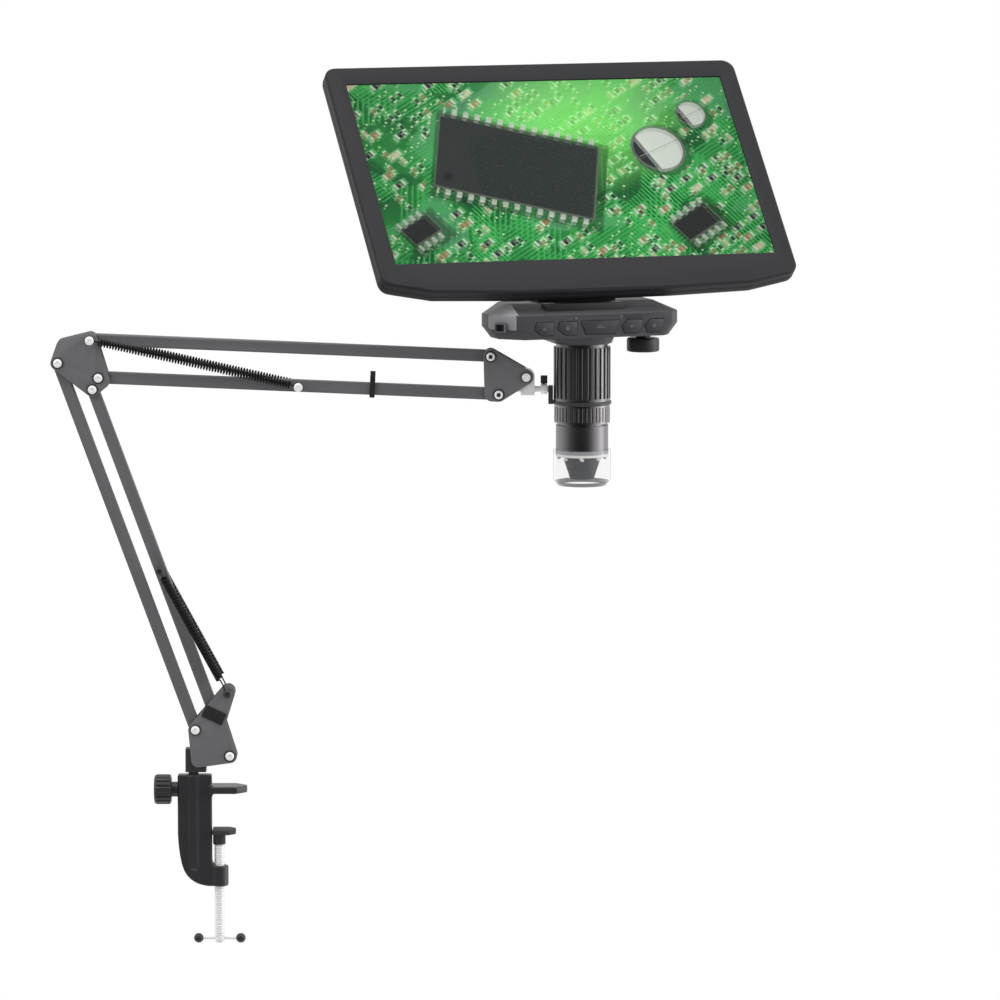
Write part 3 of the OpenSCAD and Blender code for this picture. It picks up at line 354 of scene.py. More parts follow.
FINISHES = {
    "cast_black": painted("Cast black paint", srgb(50, 50, 53), rough=0.34, peel=0.06 * MM, grain=1.3 * MM),
    "pad_black": rubbery("Pad rubber", srgb(48, 48, 50)),
    "bright_steel": machined("Bright steel", (0.94, 0.94, 0.94), rough=0.28, metal=0.2),
    "knob_black": moulded("Knob plastic", srgb(50, 49, 51), rough=0.36),
    "dark_steel": painted("Dark steel", srgb(56, 56, 58), rough=0.38),
    "plate_grey": painted("Plate paint", srgb(106, 105, 109), rough=0.5),
    "bolt_steel": machined("Bolt zinc", (1.0, 1.0, 1.0), rough=0.34, metal=0.15, direction=(1, 1, 1)),
    "band_black": rubbery("Band rubber", srgb(28, 28, 30)),
    "bar_grey": painted("Bar paint", srgb(99, 99, 102), rough=0.55, shine=0.35),
    "spring_black": painted("Spring black", srgb(24, 24, 25), rough=0.5, shine=0.2),
    "barrel_grey": machined("Barrel anodising", srgb(132, 130, 132), rough=0.34),
    "circuit_green": circuit("Circuit board"),
    "inner_black": moulded("Lens tube black", srgb(30, 30, 32), rough=0.5),
    "lens_glass": clear("Lens glass", (0.55, 0.72, 0.8), 0.5),
    "focus_black": machined("Focus ring anodising", srgb(142, 139, 141), rough=0.28),
    "lamp_white": moulded("Lamp white", srgb(225, 225, 220), rough=0.3),
    "hood_clear": hood_plastic(),
    "console_grey": console_plastic(),
    "socket_metal": machined("Socket plating", srgb(104, 104, 108), rough=0.45, metal=0.5),
    "hinge_grey": moulded("Hinge plastic", srgb(40, 38, 40), rough=0.45, shine=0.3),
    "bezel_charcoal": moulded("Bezel plastic", srgb(42, 41, 44), rough=0.5, shine=0.16),
    "button_grey": moulded("Button plastic", srgb(60, 58, 62), rough=0.4, shine=0.35),
    "screen_glass": clear("Screen glass", (0.5, 0.52, 0.53), 0.02, waves=0.002 * MM, coat=0.0),
}


SLOT_OF = {p["node"]: p["material_slot"] for p in frame["record"]["subparts"]}
BODY_OF = {n: b for b, names in frame["record"]["behaviour"]["bodies"].items() for n in names}


def piece(name, mesh, slot, body, *nodes, smooth=40):
    """A finished piece: its mesh as an object with its finish, on its body if it has one, in place
    of nodes. Edges turned by more than smooth degrees stay sharp."""
    obj = bpy.data.objects.new(name, mesh)
    bpy.context.scene.collection.objects.link(obj)
    mesh.materials.clear()
    mesh.materials.append(FINISHES[slot].material)
    if smooth:
        mesh.polygons.foreach_set("use_smooth", [True] * len(mesh.polygons))
        mesh.set_sharp_from_angle(angle=math.radians(smooth))
    if body:
        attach(obj, body)
    if nodes:
        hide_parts(*nodes)
    return obj


def baked(obj, name):
    """The object's mesh with its modifiers applied, and the object removed."""
    bpy.context.view_layer.update()
    shown = obj.evaluated_get(bpy.context.evaluated_depsgraph_get())
    mesh = bpy.data.meshes.new_from_object(shown)
    mesh.name = name
    bpy.data.objects.remove(obj)
    return mesh


def held(mesh, name="work"):
    """A working object for a mesh, so that modifiers can shape it."""
    obj = bpy.data.objects.new(name, mesh)
    bpy.context.scene.collection.objects.link(obj)
    return obj


def merged(node, whole=True):
    """A CAD node's mesh with its loose triangles joined and, if asked, its flat faces made whole."""
    mesh = bmesh.new()
    mesh.from_mesh(frame["nodes"][node].data)
    bmesh.ops.remove_doubles(mesh, verts=mesh.verts, dist=WELD)
    bmesh.ops.dissolve_degenerate(mesh, edges=mesh.edges, dist=0.001 * MM)
    if whole:
        bmesh.ops.dissolve_limit(mesh, angle_limit=math.radians(0.6), verts=mesh.verts, edges=mesh.edges)
    return as_mesh(mesh, node)


def weighted(mesh, corner, spared):
    """Full bevel weight for a mesh's sharp edges, apart from those whose middle is spared."""
    work = bmesh.new()
    work.from_mesh(mesh)
    weight = work.edges.layers.float.new("bevel_weight_edge")
    for edge in work.edges:
        sharp = len(edge.link_faces) == 2 and edge.calc_face_angle(0) > corner
        edge[weight] = float(sharp and not spared((edge.verts[0].co + edge.verts[1].co) / 2))
    work.to_mesh(mesh)
    work.free()


def softened(node, width, segments=2, corner=32, slot=None, whole=True, spared=None):
    """A CAD node with its edges of more than corner degrees broken by a small round, as a real part's
    are, apart from those whose middle is spared."""
    obj = held(merged(node, whole))
    if spared:
        weighted(obj.data, math.radians(corner), spared)
    bevel = obj.modifiers.new("edges", "BEVEL")
    bevel.width, bevel.segments = width, segments
    bevel.limit_method, bevel.angle_limit = "WEIGHT" if spared else "ANGLE", math.radians(corner)
    bevel.use_clamp_overlap = True
    bevel.miter_outer = "MITER_ARC"
    mesh = baked(obj, node)
    return piece(node + "_made", mesh, slot or SLOT_OF[node], BODY_OF[node], node, smooth=35)


def prism(points, depth):
    """A flat plate with an outline given in millimetres, from Z = 0 up to depth."""
    mesh = bmesh.new()
    loops = [[mesh.verts.new((x * MM, y * MM, z)) for x, y in points] for z in (0, depth)]
    mesh.faces.new(loops[0][::-1])
    mesh.faces.new(loops[1])
    for i in range(len(points)):
        j = (i + 1) % len(points)
        mesh.faces.new((loops[0][i], loops[0][j], loops[1][j], loops[1][i]))
    bmesh.ops.recalc_face_normals(mesh, faces=mesh.faces)
    return as_mesh(mesh, "prism")


def cast(node, grain, rounds, cut):
    """A CAD node as a casting: its junctions filled and its edges worn round, with a corner cut off."""
    obj = held(merged(node))
    corner = held(cut)
    corner.hide_render = True
    less = obj.modifiers.new("corner", "BOOLEAN")
    less.operation, less.solver, less.object = "DIFFERENCE", "EXACT", corner
    remesh = obj.modifiers.new("skin", "REMESH")
    remesh.mode, remesh.voxel_size = "VOXEL", grain
    smooth = obj.modifiers.new("fillets", "CORRECTIVE_SMOOTH")
    smooth.iterations, smooth.factor, smooth.use_only_smooth = rounds, 0.5, True
    mesh = baked(obj, node)
    bpy.data.objects.remove(corner)
    return piece(node + "_made", mesh, SLOT_OF[node], BODY_OF[node], node, smooth=0)


def turned(name, profile, sides=64, flutes=0, depth=0.0, fluted=(0, 0), sharp=1.0):
    """A mesh turned about Z. profile is (radius, height) pairs, closed on itself or ending on the axis.
    Between the fluted heights it is cut by flutes of a depth, narrower as sharp is larger."""
    mesh = bmesh.new()
    rings = []
    for radius, height in profile:
        ring = []
        for i in range(sides if radius > 0 else 1):
            turn = 2 * math.pi * i / sides
            cut = 0.0
            if flutes and fluted[0] <= height <= fluted[1]:
                cut = depth * (0.5 + 0.5 * math.cos(flutes * turn)) ** sharp
            r = radius - cut
            ring.append(mesh.verts.new((r * math.cos(turn), r * math.sin(turn), height)))
        rings.append(ring)
    joins = list(zip(rings, rings[1:]))
    if profile[0][0] > 0:
        joins.append((rings[-1], rings[0]))
    for lower, upper in joins:
        for i in range(sides):
            j = (i + 1) % sides
            corners = [lower[i % len(lower)], lower[j % len(lower)],
                       upper[j % len(upper)], upper[i % len(upper)]]
            face = list(dict.fromkeys(corners))
            if len(face) > 2:
                mesh.faces.new(face)
    bmesh.ops.recalc_face_normals(mesh, faces=mesh.faces)
    return as_mesh(mesh, name)


def rounded_profile(points, radius, steps=3):
    """A closed profile with each corner taken off by a curve of a few steps."""
    out = []
    for i, here in enumerate(points):
        before, after = Vector(points[i - 1]), Vector(points[(i + 1) % len(points)])
        p = Vector(here)
        a = p + (before - p).normalized() * min(radius, (before - p).length / 2.2)
        b = p + (after - p).normalized() * min(radius, (after - p).length / 2.2)
        for s in range(steps + 1):
            t = s / steps
            out.append(tuple((1 - t) ** 2 * a + 2 * t * (1 - t) * p + t ** 2 * b))
    return out


def placed(mesh, matrix):
    mesh.transform(matrix)
    return mesh


def joined(name, meshes):
    """Several meshes as one."""
    whole = bmesh.new()
    for mesh in meshes:
        whole.from_mesh(mesh)
    return as_mesh(whole, name)


def facing(direction, at):
    """The placing that lays a mesh's Z along a direction, at a point."""
    return Matrix.Translation(at) @ Vector(direction).to_track_quat("Z", "Y").to_matrix().to_4x4()


# The console's front wall round its openings: its heights, half its width and how far out it stands
FRONT_WALL = (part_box("button_1")[0].z - 1.4 * MM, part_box("status_lights")[1].z + 0.6 * MM)
FRONT_HALF, FRONT_OUT = 42 * MM, 23.5 * MM


def by_the_buttons(point):
    """Whether a point is in the console's front wall, where the openings for buttons and lights are."""
    x, y, z = HEAD.inverted() @ point
    return abs(x) < FRONT_HALF and y < -FRONT_OUT and FRONT_WALL[0] < z < FRONT_WALL[1]


# Edges of the flat and folded metal parts, and of the moulded ones
for name in ("base_plate_front", "base_plate_rear", "elbow_plate_front", "elbow_plate_rear",
             "end_plate_front", "end_plate_rear"):
    softened(name, 0.35 * MM)
for name in ("lower_bar_left", "lower_bar_right", "upper_bar_top", "upper_bar_bottom"):
    softened(name, 0.7 * MM, segments=3, corner=40)
for name, width in (("swivel_shaft", 0.5), ("ear_bands", 0.2), ("cable_clip", 0.3),
                    ("holder_ring", 0.4), ("pressure_pad", 0.4),
                    ("console_rear_shell", 0.45), ("hinge_base", 0.35), ("side_socket", 0.12),
                    ("display_bezel", 0.5), ("display_back", 0.5), ("holder_rod", 0.25),
                    *(("button_%d" % i, 0.2) for i in range(1, 6))):
    softened(name, width * MM)
softened("tilt_block", 0.5 * MM, slot="bright_steel")
softened("console_front_shell", 0.4 * MM, whole=False, spared=by_the_buttons)
softened("status_lights", 0.1 * MM, slot="socket_metal")

# The clamp's back bends round into its hook. This is the corner outside that bend, in millimetres
# from the frame's own lowest corner, cut through the frame's whole depth.
BEND = [(-2, -2), (16.5, -2), (16.5, 0), (12.4, 0.9), (9.8, 2.0), (7.2, 3.7), (5, 6), (3.3, 9),
        (2.1, 12.5), (1.1, 17.5), (0.4, 23), (0, 29), (-2, 29)]
BEND_DEPTH = 60 * MM
CLAMP_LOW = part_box("clamp_body")[0]
UPRIGHT = (Matrix.Translation((CLAMP_LOW.x, BEND_DEPTH / 2, CLAMP_LOW.z))
           @ Matrix.Rotation(math.pi / 2, 4, "X"))
cast("clamp_body", 0.42 * MM, 14, placed(prism(BEND, BEND_DEPTH), UPRIGHT))


class Board(Finish):
    """The lit picture on the panel: a made-up circuit board seen close, in the display's own axes."""

    def __init__(self, name, middle, across, up):
        super().__init__(name)
        self.u, self.v = self.along(across, middle), self.along(up, middle)
        self.picture = self.mix(self.noise(30 * MM, detail=4), srgb(10, 72, 32), srgb(40, 146, 62))

    def turned(self, degrees, at=(0, 0)):
        """The picture's coordinates turned about a point, given in millimetres."""
        cos, sin = math.cos(math.radians(degrees)), math.sin(math.radians(degrees))
        du, dv = self.u - at[0] * MM, self.v - at[1] * MM
        return du * cos + dv * sin, dv * cos - du * sin

    def paint(self, mask, colour):
        self.picture = self.mix(mask, self.picture, colour)

    def shade(self, share):
        """Darkens the picture where share is under one."""
        self.picture = self.add("ShaderNodeVectorMath", {"operation": "SCALE"},
                                {0: self.picture, "Scale": share})

    def block(self, place, width, height, shift=(0, 0)):
        """A mask of a rectangle about a place's origin, in millimetres."""
        p, q = place
        return (abs(p - shift[0] * MM) < width * MM / 2) * (abs(q - shift[1] * MM) < height * MM / 2)

    def disc(self, place, radius, shift=(0, 0)):
        p, q = place[0] - shift[0] * MM, place[1] - shift[1] * MM
        return (p * p + q * q) < (radius * MM) ** 2

    def chance(self, p, q, seed):
        """A random value for each cell, from its whole numbers."""
        cell = self.add("ShaderNodeCombineXYZ", None, {0: p.floor(), 1: q.floor(), 2: seed})
        return self.add("ShaderNodeTexWhiteNoise", {"noise_dimensions": "3D"}, {"Vector": cell}, out="Value")

    def parts(self, degrees, cell, size, seed, share, free):
        """Rows of small two-ended parts on a turned lattice of cells, each there or not by chance."""
        p, q = (w / (c * MM) for w, c in zip(self.turned(degrees), cell))
        there = (self.chance(p, q, seed) < share) * free
        x, y = abs(p.part() - 0.5) * cell[0], abs(q.part() - 0.5) * cell[1]
        kind = self.chance(p, q, seed + 7)
        body = there * (x < size[0] / 2) * (y < size[1] / 2)
        ends = body * (x > size[0] * 0.3)
        pads = there * (x < size[0] * 0.72) * (y < size[1] * 0.66)
        self.paint(pads, srgb(96, 186, 108))
        hue = self.add("ShaderNodeValToRGB", {"stops": [
            (0.0, (*srgb(34, 32, 34), 1)), (0.34, (*srgb(150, 118, 78), 1)),
            (0.62, (*srgb(196, 186, 150), 1)), (0.8, (*srgb(40, 46, 44), 1))]}, {"Fac": kind})
        self.tree.nodes[-1].color_ramp.interpolation = "CONSTANT"
        self.paint(body, hue)
        self.paint(ends, srgb(214, 224, 206))

    def traces(self, degrees, pitch, width, seed, low, high):
        """Bundles of parallel tracks, where a slow noise lies between two values. width is the share
        of the pitch that a track takes."""
        q = self.turned(degrees)[1]
        field = self.noise(46 * MM, detail=1, place=self.add("ShaderNodeVectorMath", {"operation": "ADD"},
                                                             {0: self.place, 1: (seed, seed, seed)}))
        band = (field > low) * (field < high)
        self.paint(band * ((q / (pitch * MM)).part() < width), srgb(62, 176, 84))

    def chip(self, degrees, at, width, height, pins, tone):
        """A black chip with pins on its two long sides, a lit edge and a shadow."""
        place = self.turned(degrees, at)
        self.shade(1 - self.block(place, width + 7, height + 9, (1.5, -3)) * 0.55)
        comb = (place[0] / (width * MM / pins)).part() < 0.46
        self.paint(self.block(place, width * 0.96, height + 8) * comb, srgb(186, 196, 180))
        self.paint(self.block(place, width, height), srgb(96, 104, 92))
        self.paint(self.block(place, width - 1.6, height - 1.8, (-0.3, 0.5)), tone)
        first_pin = self.disc(place, min(width, height) * 0.05, (width * -0.42, height * -0.32))
        self.paint(first_pin, srgb(24, 25, 26))


def picture():
    """The panel's picture, framed on the panel's middle."""
    b = Board("Panel picture", centre("lcd_panel"), ACROSS, UP)
    # Chips as turn, middle, width, height and pins, and round cans as middle and radius, in millimetres
    chips = ((-17, (-24, 4), 92, 54, 14), (32, (72, -38), 27, 16, 5), (32, (-90, -38), 21, 14, 4))
    cans = ((62, 14, 16), (88, 38, 9))
    via_pitch = 5.2 * MM
    free = None
    for degrees, at, width, height, pins in chips:
        area = 1 - b.block(b.turned(degrees, at), width + 10, height + 12)
        free = area if free is None else free * area
    for x, y, radius in cans:
        free = free * (1 - b.disc(b.turned(0, (x, y)), radius + 3))
    glow = b.turned(20, (18, 34))
    lit = (1 - (glow[0] * glow[0] * 0.5 + glow[1] * glow[1]) / (52 * MM) ** 2).clamped()
    pour = b.noise(38 * MM, detail=0, place=b.add("ShaderNodeVectorMath", {"operation": "ADD"},
                                                   {0: b.place, 1: (0.7, 0.2, 0.4)}))
    b.paint(pour > 0.56, srgb(14, 92, 44))
    b.paint((pour < 0.4) * 0.6, srgb(92, 150, 116))
    b.traces(32, pitch=2.3, width=0.42, seed=0.31, low=0.5, high=0.72)
    b.traces(-58, pitch=2.3, width=0.42, seed=0.93, low=0.53, high=0.8)
    b.traces(77, pitch=3.1, width=0.3, seed=0.57, low=0.55, high=0.75)
    vias = b.turned(32)
    dots = tuple((w / via_pitch).part() - 0.5 for w in vias)
    some = b.chance(vias[0] / via_pitch, vias[1] / via_pitch, 3) < 0.3
    b.paint(some * ((dots[0] * dots[0] + dots[1] * dots[1]) < 0.02), srgb(190, 226, 170))
    b.parts(32, cell=(13, 8.2), size=(7.4, 3.7), seed=11, share=0.45, free=free)
    b.parts(-58, cell=(8.6, 5.2), size=(4.8, 2.3), seed=23, share=0.3, free=free)
    b.picture = b.mix(lit * 0.55, b.picture, srgb(150, 255, 120))
    for degrees, at, width, height, pins in chips:
        b.chip(degrees, at, width, height, pins, srgb(44, 47, 47) if width > 50 else srgb(34, 36, 36))
    for x, y, radius in cans:
        place = b.turned(24, (x, y))
        b.shade(1 - b.disc(place, radius + 2, (1.5, -2)) * 0.5)
        b.paint(b.disc(place, radius), srgb(104, 112, 104))
        b.paint(b.disc(place, radius * 0.9), srgb(206, 212, 202))
        b.paint(b.disc(place, radius * 0.9) * (place[0] < -0.45 * radius * MM), srgb(40, 42, 44))
        b.paint(b.disc(place, radius * 0.86) * (abs(place[1]) < 0.25 * MM), srgb(140, 148, 138))
    vignette = (b.u * b.u + b.v * b.v) / (150 * MM) ** 2
    b.shade(1.08 - vignette * 0.5)
    b.set(Base_Color=(0.004, 0.006, 0.005), Roughness=0.5, Emission_Color=b.picture,
          Emission_Strength=1.0, Specular_IOR_Level=0.0)
    return b


FINISHES["panel_picture"] = picture()


def ring_of(radius, sides, hexed=False):
    """Points of one turned ring, round or six-sided, about the origin."""
    points = []
    for i in range(sides):
        turn = 2 * math.pi * i / sides
        r = radius
        if hexed:
            r = radius * math.cos(math.pi / 6) / math.cos(turn % (math.pi / 3) - math.pi / 6)
        points.append((r * math.cos(turn), r * math.sin(turn)))
    return points


def headed(radius, height, drive, depth):
    """A domed bolt head on the plane Z = 0, with a six-sided recess in its crown."""
    rings = [(0.94 * radius, 0, False), (radius, 0.12 * height, False), (radius, 0.4 * height, False),
             (0.93 * radius, 0.68 * height, False), (0.78 * radius, 0.9 * height, False),
             (0.6 * radius, height, False), (drive * 1.1, height, True), (drive, height - 0.1 * depth, True),
             (drive * 0.92, height - depth, True)]
    return lathed("bolt head", rings, 36)


def nutted(radius, height, stud):
    """A six-sided nut on the plane Z = 0, with the end of its stud showing."""
    rings = [(radius * 0.9, 0, True), (radius, 0.08 * height, True), (radius, 0.86 * height, True),
             (radius * 0.9, height, True), (stud * 1.1, height, False), (stud, height, False),
             (stud, height * 1.12, False), (stud * 0.7, height * 1.2, False)]
    return lathed("nut", rings, 36)


def lathed(name, rings, sides):
    """A closed mesh of rings, each (radius, height, six-sided or not), capped at both ends."""
    mesh = bmesh.new()
    loops = [[mesh.verts.new((x, y, height)) for x, y in ring_of(radius, sides, hexed)]
             for radius, height, hexed in rings]
    for lower, upper in zip(loops, loops[1:]):
        for i in range(sides):
            j = (i + 1) % sides
            mesh.faces.new((lower[i], lower[j], upper[j], upper[i]))
    mesh.faces.new(loops[0][::-1])
    mesh.faces.new(loops[-1])
    bmesh.ops.recalc_face_normals(mesh, faces=mesh.faces)
    return as_mesh(mesh, name)


def tube(name, points, radius, sides):
    """A round wire through points, with closed ends."""
    curve = bpy.data.curves.new(name, "CURVE")
    curve.dimensions, curve.bevel_depth = "3D", radius
    curve.bevel_resolution, curve.use_fill_caps = sides // 4, True
    spline = curve.splines.new("POLY")
    spline.points.add(len(points) - 1)
    for point, at in zip(spline.points, points):
        point.co = (*at, 1)
    return baked(held(curve, name), name)


# Bolts: a domed head in front, a nut behind and washers under both. Posts stand out past the springs.
HEAD_R, HEAD_H, WASHER_R, WASHER_T = 2.4 * MM, 1.5 * MM, 3.15 * MM, 0.5 * MM
NUT_H, NUT_SEAT, STUD_R = 1.85 * MM, 2.25 * MM, 1.4 * MM
SHANK_R, SHANK_GAP = 1.5 * MM, 0.4 * MM
POST_OUT = 9 * MM
# Room between a made face and the CAD face that it stands on
SEAT_GAP = 0.02 * MM
FRONT, BACK = Vector((0, -1, 0)), Vector((0, 1, 0))
PLATE_FACE = abs(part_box("base_plate_front")[0].y)
WASHER_HOLE = 1.6 * MM
WASHER = rounded_profile([(WASHER_HOLE, 0), (WASHER_R, 0), (WASHER_R, WASHER_T), (WASHER_HOLE, WASHER_T)],
                         0.15 * MM)


def bolt_set(node, body, drive=1.15 * MM, sunk=0.7 * MM, shade_in_recess=False, post_slot=None,
             washer_slot="dark_steel"):
    """The bolts of a node from their solids' boxes: pivots through the plates, posts that stand out.
    drive and sunk are the recess's radius and depth, and the flag after them puts a dark disc on the recess's
    floor as painted shade."""
    bright, dark, dull = [], [], []
    for low, high in islands(node):
        middle = (low + high) / 2
        post = high.y > POST_OUT or low.y < -POST_OUT
        shank = [Vector((middle.x, y, middle.z))
                 for y in (low.y + sunk + SHANK_GAP, high.y - sunk - SHANK_GAP)]
        shown = dull if post and post_slot else bright
        shown.append(tube("shank", shank, SHANK_R, 16))
        ends = [(FRONT, low.y)] if low.y < -PLATE_FACE - MM else []
        ends += [(BACK, high.y)] if high.y > PLATE_FACE + MM else []
        for way, y in ends:
            if way is BACK and not post:
                at = Vector((middle.x, y - NUT_SEAT, middle.z))
                bright.append(placed(nutted(HEAD_R, NUT_H, STUD_R), facing(way, at)))
            else:
                at = Vector((middle.x, y - way.y * HEAD_H, middle.z))
                shown.append(placed(headed(HEAD_R, HEAD_H - SEAT_GAP, drive, sunk), facing(way, at)))
                if shade_in_recess:
                    # Painted shade: a dark disc on the floor of the recess
                    floor = [(drive * 0.9, HEAD_H - sunk + rise, True) for rise in (-0.2 * MM, 0.03 * MM)]
                    dark.append(placed(lathed("recess", floor, 36), facing(way, at)))
            if not post:
                seat = Vector((middle.x, way.y * (PLATE_FACE + SEAT_GAP), middle.z))
                dark.append(placed(turned("washer", WASHER), facing(way, seat)))
    piece(node + "_made", joined(node, bright), SLOT_OF[node], body, node)
    if dull:
        piece(node + "_posts", joined(node + "_posts", dull), post_slot, body)
    # Washers, and the painted shade discs in the recesses where asked, take the dark finish together
    if dark:
        piece(node + "_washers", joined(node + "_washers", dark), washer_slot, body)


bolt_set("base_bolts", "base", drive=1.0 * MM, sunk=0.35 * MM, post_slot="dark_steel")
bolt_set("elbow_bolts", "elbow", drive=1.0 * MM, sunk=0.35 * MM)
bolt_set("end_bolts", "arm_end", drive=1.35 * MM, shade_in_recess=True)
bolt_set("tip_bolt", "arm_end", drive=0.9 * MM, sunk=0.3 * MM, washer_slot="socket_metal")
bolt_set("lower_spring_pin", "lower_right")
bolt_set("upper_spring_pin", "upper_bottom", drive=0.9 * MM, sunk=0.25 * MM)


def new_tree(name, **kinds):
    """A Geometry Nodes tree with its inputs' kinds by name: the tree, the inputs' identifiers by name,
    and its first and last nodes."""
    tree = bpy.data.node_groups.new(name, "GeometryNodeTree")
    tree.interface.new_socket("Geometry", in_out="INPUT", socket_type="NodeSocketGeometry")
    found = {key: tree.interface.new_socket(key, in_out="INPUT", socket_type="NodeSocket" + kind).identifier
             for key, kind in kinds.items()}
    tree.interface.new_socket("Geometry", in_out="OUTPUT", socket_type="NodeSocketGeometry")
    return tree, found, tree.nodes.new("NodeGroupInput"), tree.nodes.new("NodeGroupOutput")


def shaped(obj, name, tree, inputs, **values):
    """The object's mesh after a Geometry Nodes tree, with the tree's inputs set by identifier."""
    nodes = obj.modifiers.new(name, "NODES")
    nodes.node_group = tree
    for key, value in values.items():
        nodes[inputs[key]] = value
    return baked(obj, name)


# Springs: a wound coil made in Geometry Nodes, with a hook at each end
def coil_tree():
    """Node tree of a helix of round wire along Z, and its inputs."""
    tree, found, entry, leave = new_tree("Wound coil", Turns="Float", Radius="Float", Length="Float",
                                         Wire="Float", Steps="Int", Sides="Int", Material="Material")
    helix = tree.nodes.new("GeometryNodeCurveSpiral")
    ring = tree.nodes.new("GeometryNodeCurvePrimitiveCircle")
    skin = tree.nodes.new("GeometryNodeCurveToMesh")
    real = tree.nodes.new("GeometryNodeRealizeInstances")
    paint = tree.nodes.new("GeometryNodeSetMaterial")
    skin.inputs["Fill Caps"].default_value = True
    for source, target in (("Turns", helix.inputs["Rotations"]), ("Radius", helix.inputs["Start Radius"]),
                           ("Radius", helix.inputs["End Radius"]), ("Length", helix.inputs["Height"]),
                           ("Steps", helix.inputs["Resolution"]), ("Wire", ring.inputs["Radius"]),
                           ("Sides", ring.inputs["Resolution"]), ("Material", paint.inputs["Material"])):
        tree.links.new(entry.outputs[source], target)
    tree.links.new(helix.outputs[0], skin.inputs["Curve"])
    tree.links.new(ring.outputs[0], skin.inputs["Profile Curve"])
    tree.links.new(skin.outputs[0], real.inputs[0])
    tree.links.new(real.outputs[0], paint.inputs["Geometry"])
    tree.links.new(paint.outputs[0], leave.inputs[0])
    return tree, found


COIL, COIL_INPUTS = coil_tree()


def coil(turns, radius, length, wire, slot, steps=14, sides=7):
    """The mesh of one coil along Z from the origin."""
    mesh = shaped(held(bpy.data.meshes.new("coil"), "coil"), "coil", COIL, COIL_INPUTS, Turns=turns,
                  Radius=radius, Length=length, Wire=wire, Steps=steps, Sides=sides,
                  Material=FINISHES[slot].material)
    flip = bmesh.new()
    flip.from_mesh(mesh)
    bmesh.ops.recalc_face_normals(flip, faces=flip.faces)
    flip.to_mesh(mesh)
    flip.free()
    return mesh


SPRING_R = 1.9 * MM


def spring(node, first, last, pitch, leads, wire):
    """A balance spring between two posts, with the lengths of its two hooks in leads."""
    y = centre(node).y
    first, last = Vector((first[0], y, first[1])), Vector((last[0], y, last[1]))
    way = (last - first).normalized()
    start, end = first + way * leads[0], last - way * leads[1]
    length = (end - start).length
    wound = coil(length / pitch, SPRING_R, length, wire, "spring_black")
    frame_of = facing(way, start)
    parts = [placed(wound, frame_of)]
    out = frame_of.to_3x3() @ Vector((SPRING_R, 0, 0))
    turn = 2 * math.pi * (length / pitch)
    spun = frame_of.to_3x3() @ Vector((SPRING_R * math.cos(turn), SPRING_R * math.sin(turn), 0))
    # Each hook leads in from the coil's end and turns 300 degrees round its post
    ring = SHANK_R + wire
    for post, root, lip, side in ((first, start, out, -1), (last, end, spun, 1)):
        loop = []
        for i in range(13):
            angle = math.radians(30 + 300 * i / 12)
            loop.append(post + way * side * ring * -math.cos(angle)
                        + way.cross(Vector((0, 1, 0))) * ring * math.sin(angle))
        lead = [root + lip, root + lip * 0.55 + way * side * 0.3 * MM, root + way * side * 0.8 * MM,
                root.lerp(post, 0.5)]
        parts.append(tube("hook", lead + loop, wire * 0.9, 8))
    made = piece(node + "_made", joined(node, parts), "spring_black", None, node, smooth=50)
    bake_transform(made)


EAR, ELBOW_TOP = (sum(islands(node)[1], Vector()) / 2 for node in ("base_bolts", "elbow_bolts"))
LOWER_PIN, UPPER_PIN = centre("lower_spring_pin"), centre("upper_spring_pin")
for node in ("lower_spring_front", "lower_spring_rear"):
    spring(node, (EAR.x, EAR.z), (LOWER_PIN.x, LOWER_PIN.z), pitch=0.91 * MM,
           leads=(9 * MM, 4.5 * MM), wire=0.45 * MM)
for node in ("upper_spring_front", "upper_spring_rear"):
    spring(node, (ELBOW_TOP.x, ELBOW_TOP.z), (UPPER_PIN.x, UPPER_PIN.z), pitch=1.6 * MM,
           leads=(5 * MM, 5 * MM), wire=0.42 * MM)


# What repeats round a ring: a small part set on the ring's points by Geometry Nodes
def ring_tree():
    """Node tree that sets the object's own mesh on a ring's points, and its inputs."""
    tree, found, entry, leave = new_tree("Repeated on a ring", Vertices="Int", Radius="Float",
                                         Material="Material")
    points = tree.nodes.new("GeometryNodeMeshCircle")
    spread = tree.nodes.new("GeometryNodeInstanceOnPoints")
    real = tree.nodes.new("GeometryNodeRealizeInstances")
    paint = tree.nodes.new("GeometryNodeSetMaterial")
    for name in ("Vertices", "Radius"):
        tree.links.new(entry.outputs[name], points.inputs[name])
    tree.links.new(points.outputs[0], spread.inputs["Points"])
    tree.links.new(entry.outputs["Geometry"], spread.inputs["Instance"])
    tree.links.new(spread.outputs[0], real.inputs[0])
    tree.links.new(real.outputs[0], paint.inputs["Geometry"])
    tree.links.new(entry.outputs["Material"], paint.inputs["Material"])
    tree.links.new(paint.outputs[0], leave.inputs[0])
    return tree, found


RING, RING_INPUTS = ring_tree()


def ringed(mesh, count, radius, slot):
    """The mesh repeated round a ring about the origin."""
    return shaped(held(mesh, "repeated"), "repeated", RING, RING_INPUTS, Vertices=count, Radius=radius,
                  Material=FINISHES[slot].material)


def domed(radius, height):
    """A small dome on the plane Z = 0."""
    return lathed("dome", [(radius * math.cos(angle), height * math.sin(angle), False)
                           for angle in (0, 0.35, 0.7, 1.05, 1.35)], 20)


def scaled(points, across, along):
    """A profile's points with its radii and its heights scaled."""
    return [(radius * across, height * along) for radius, height in points]


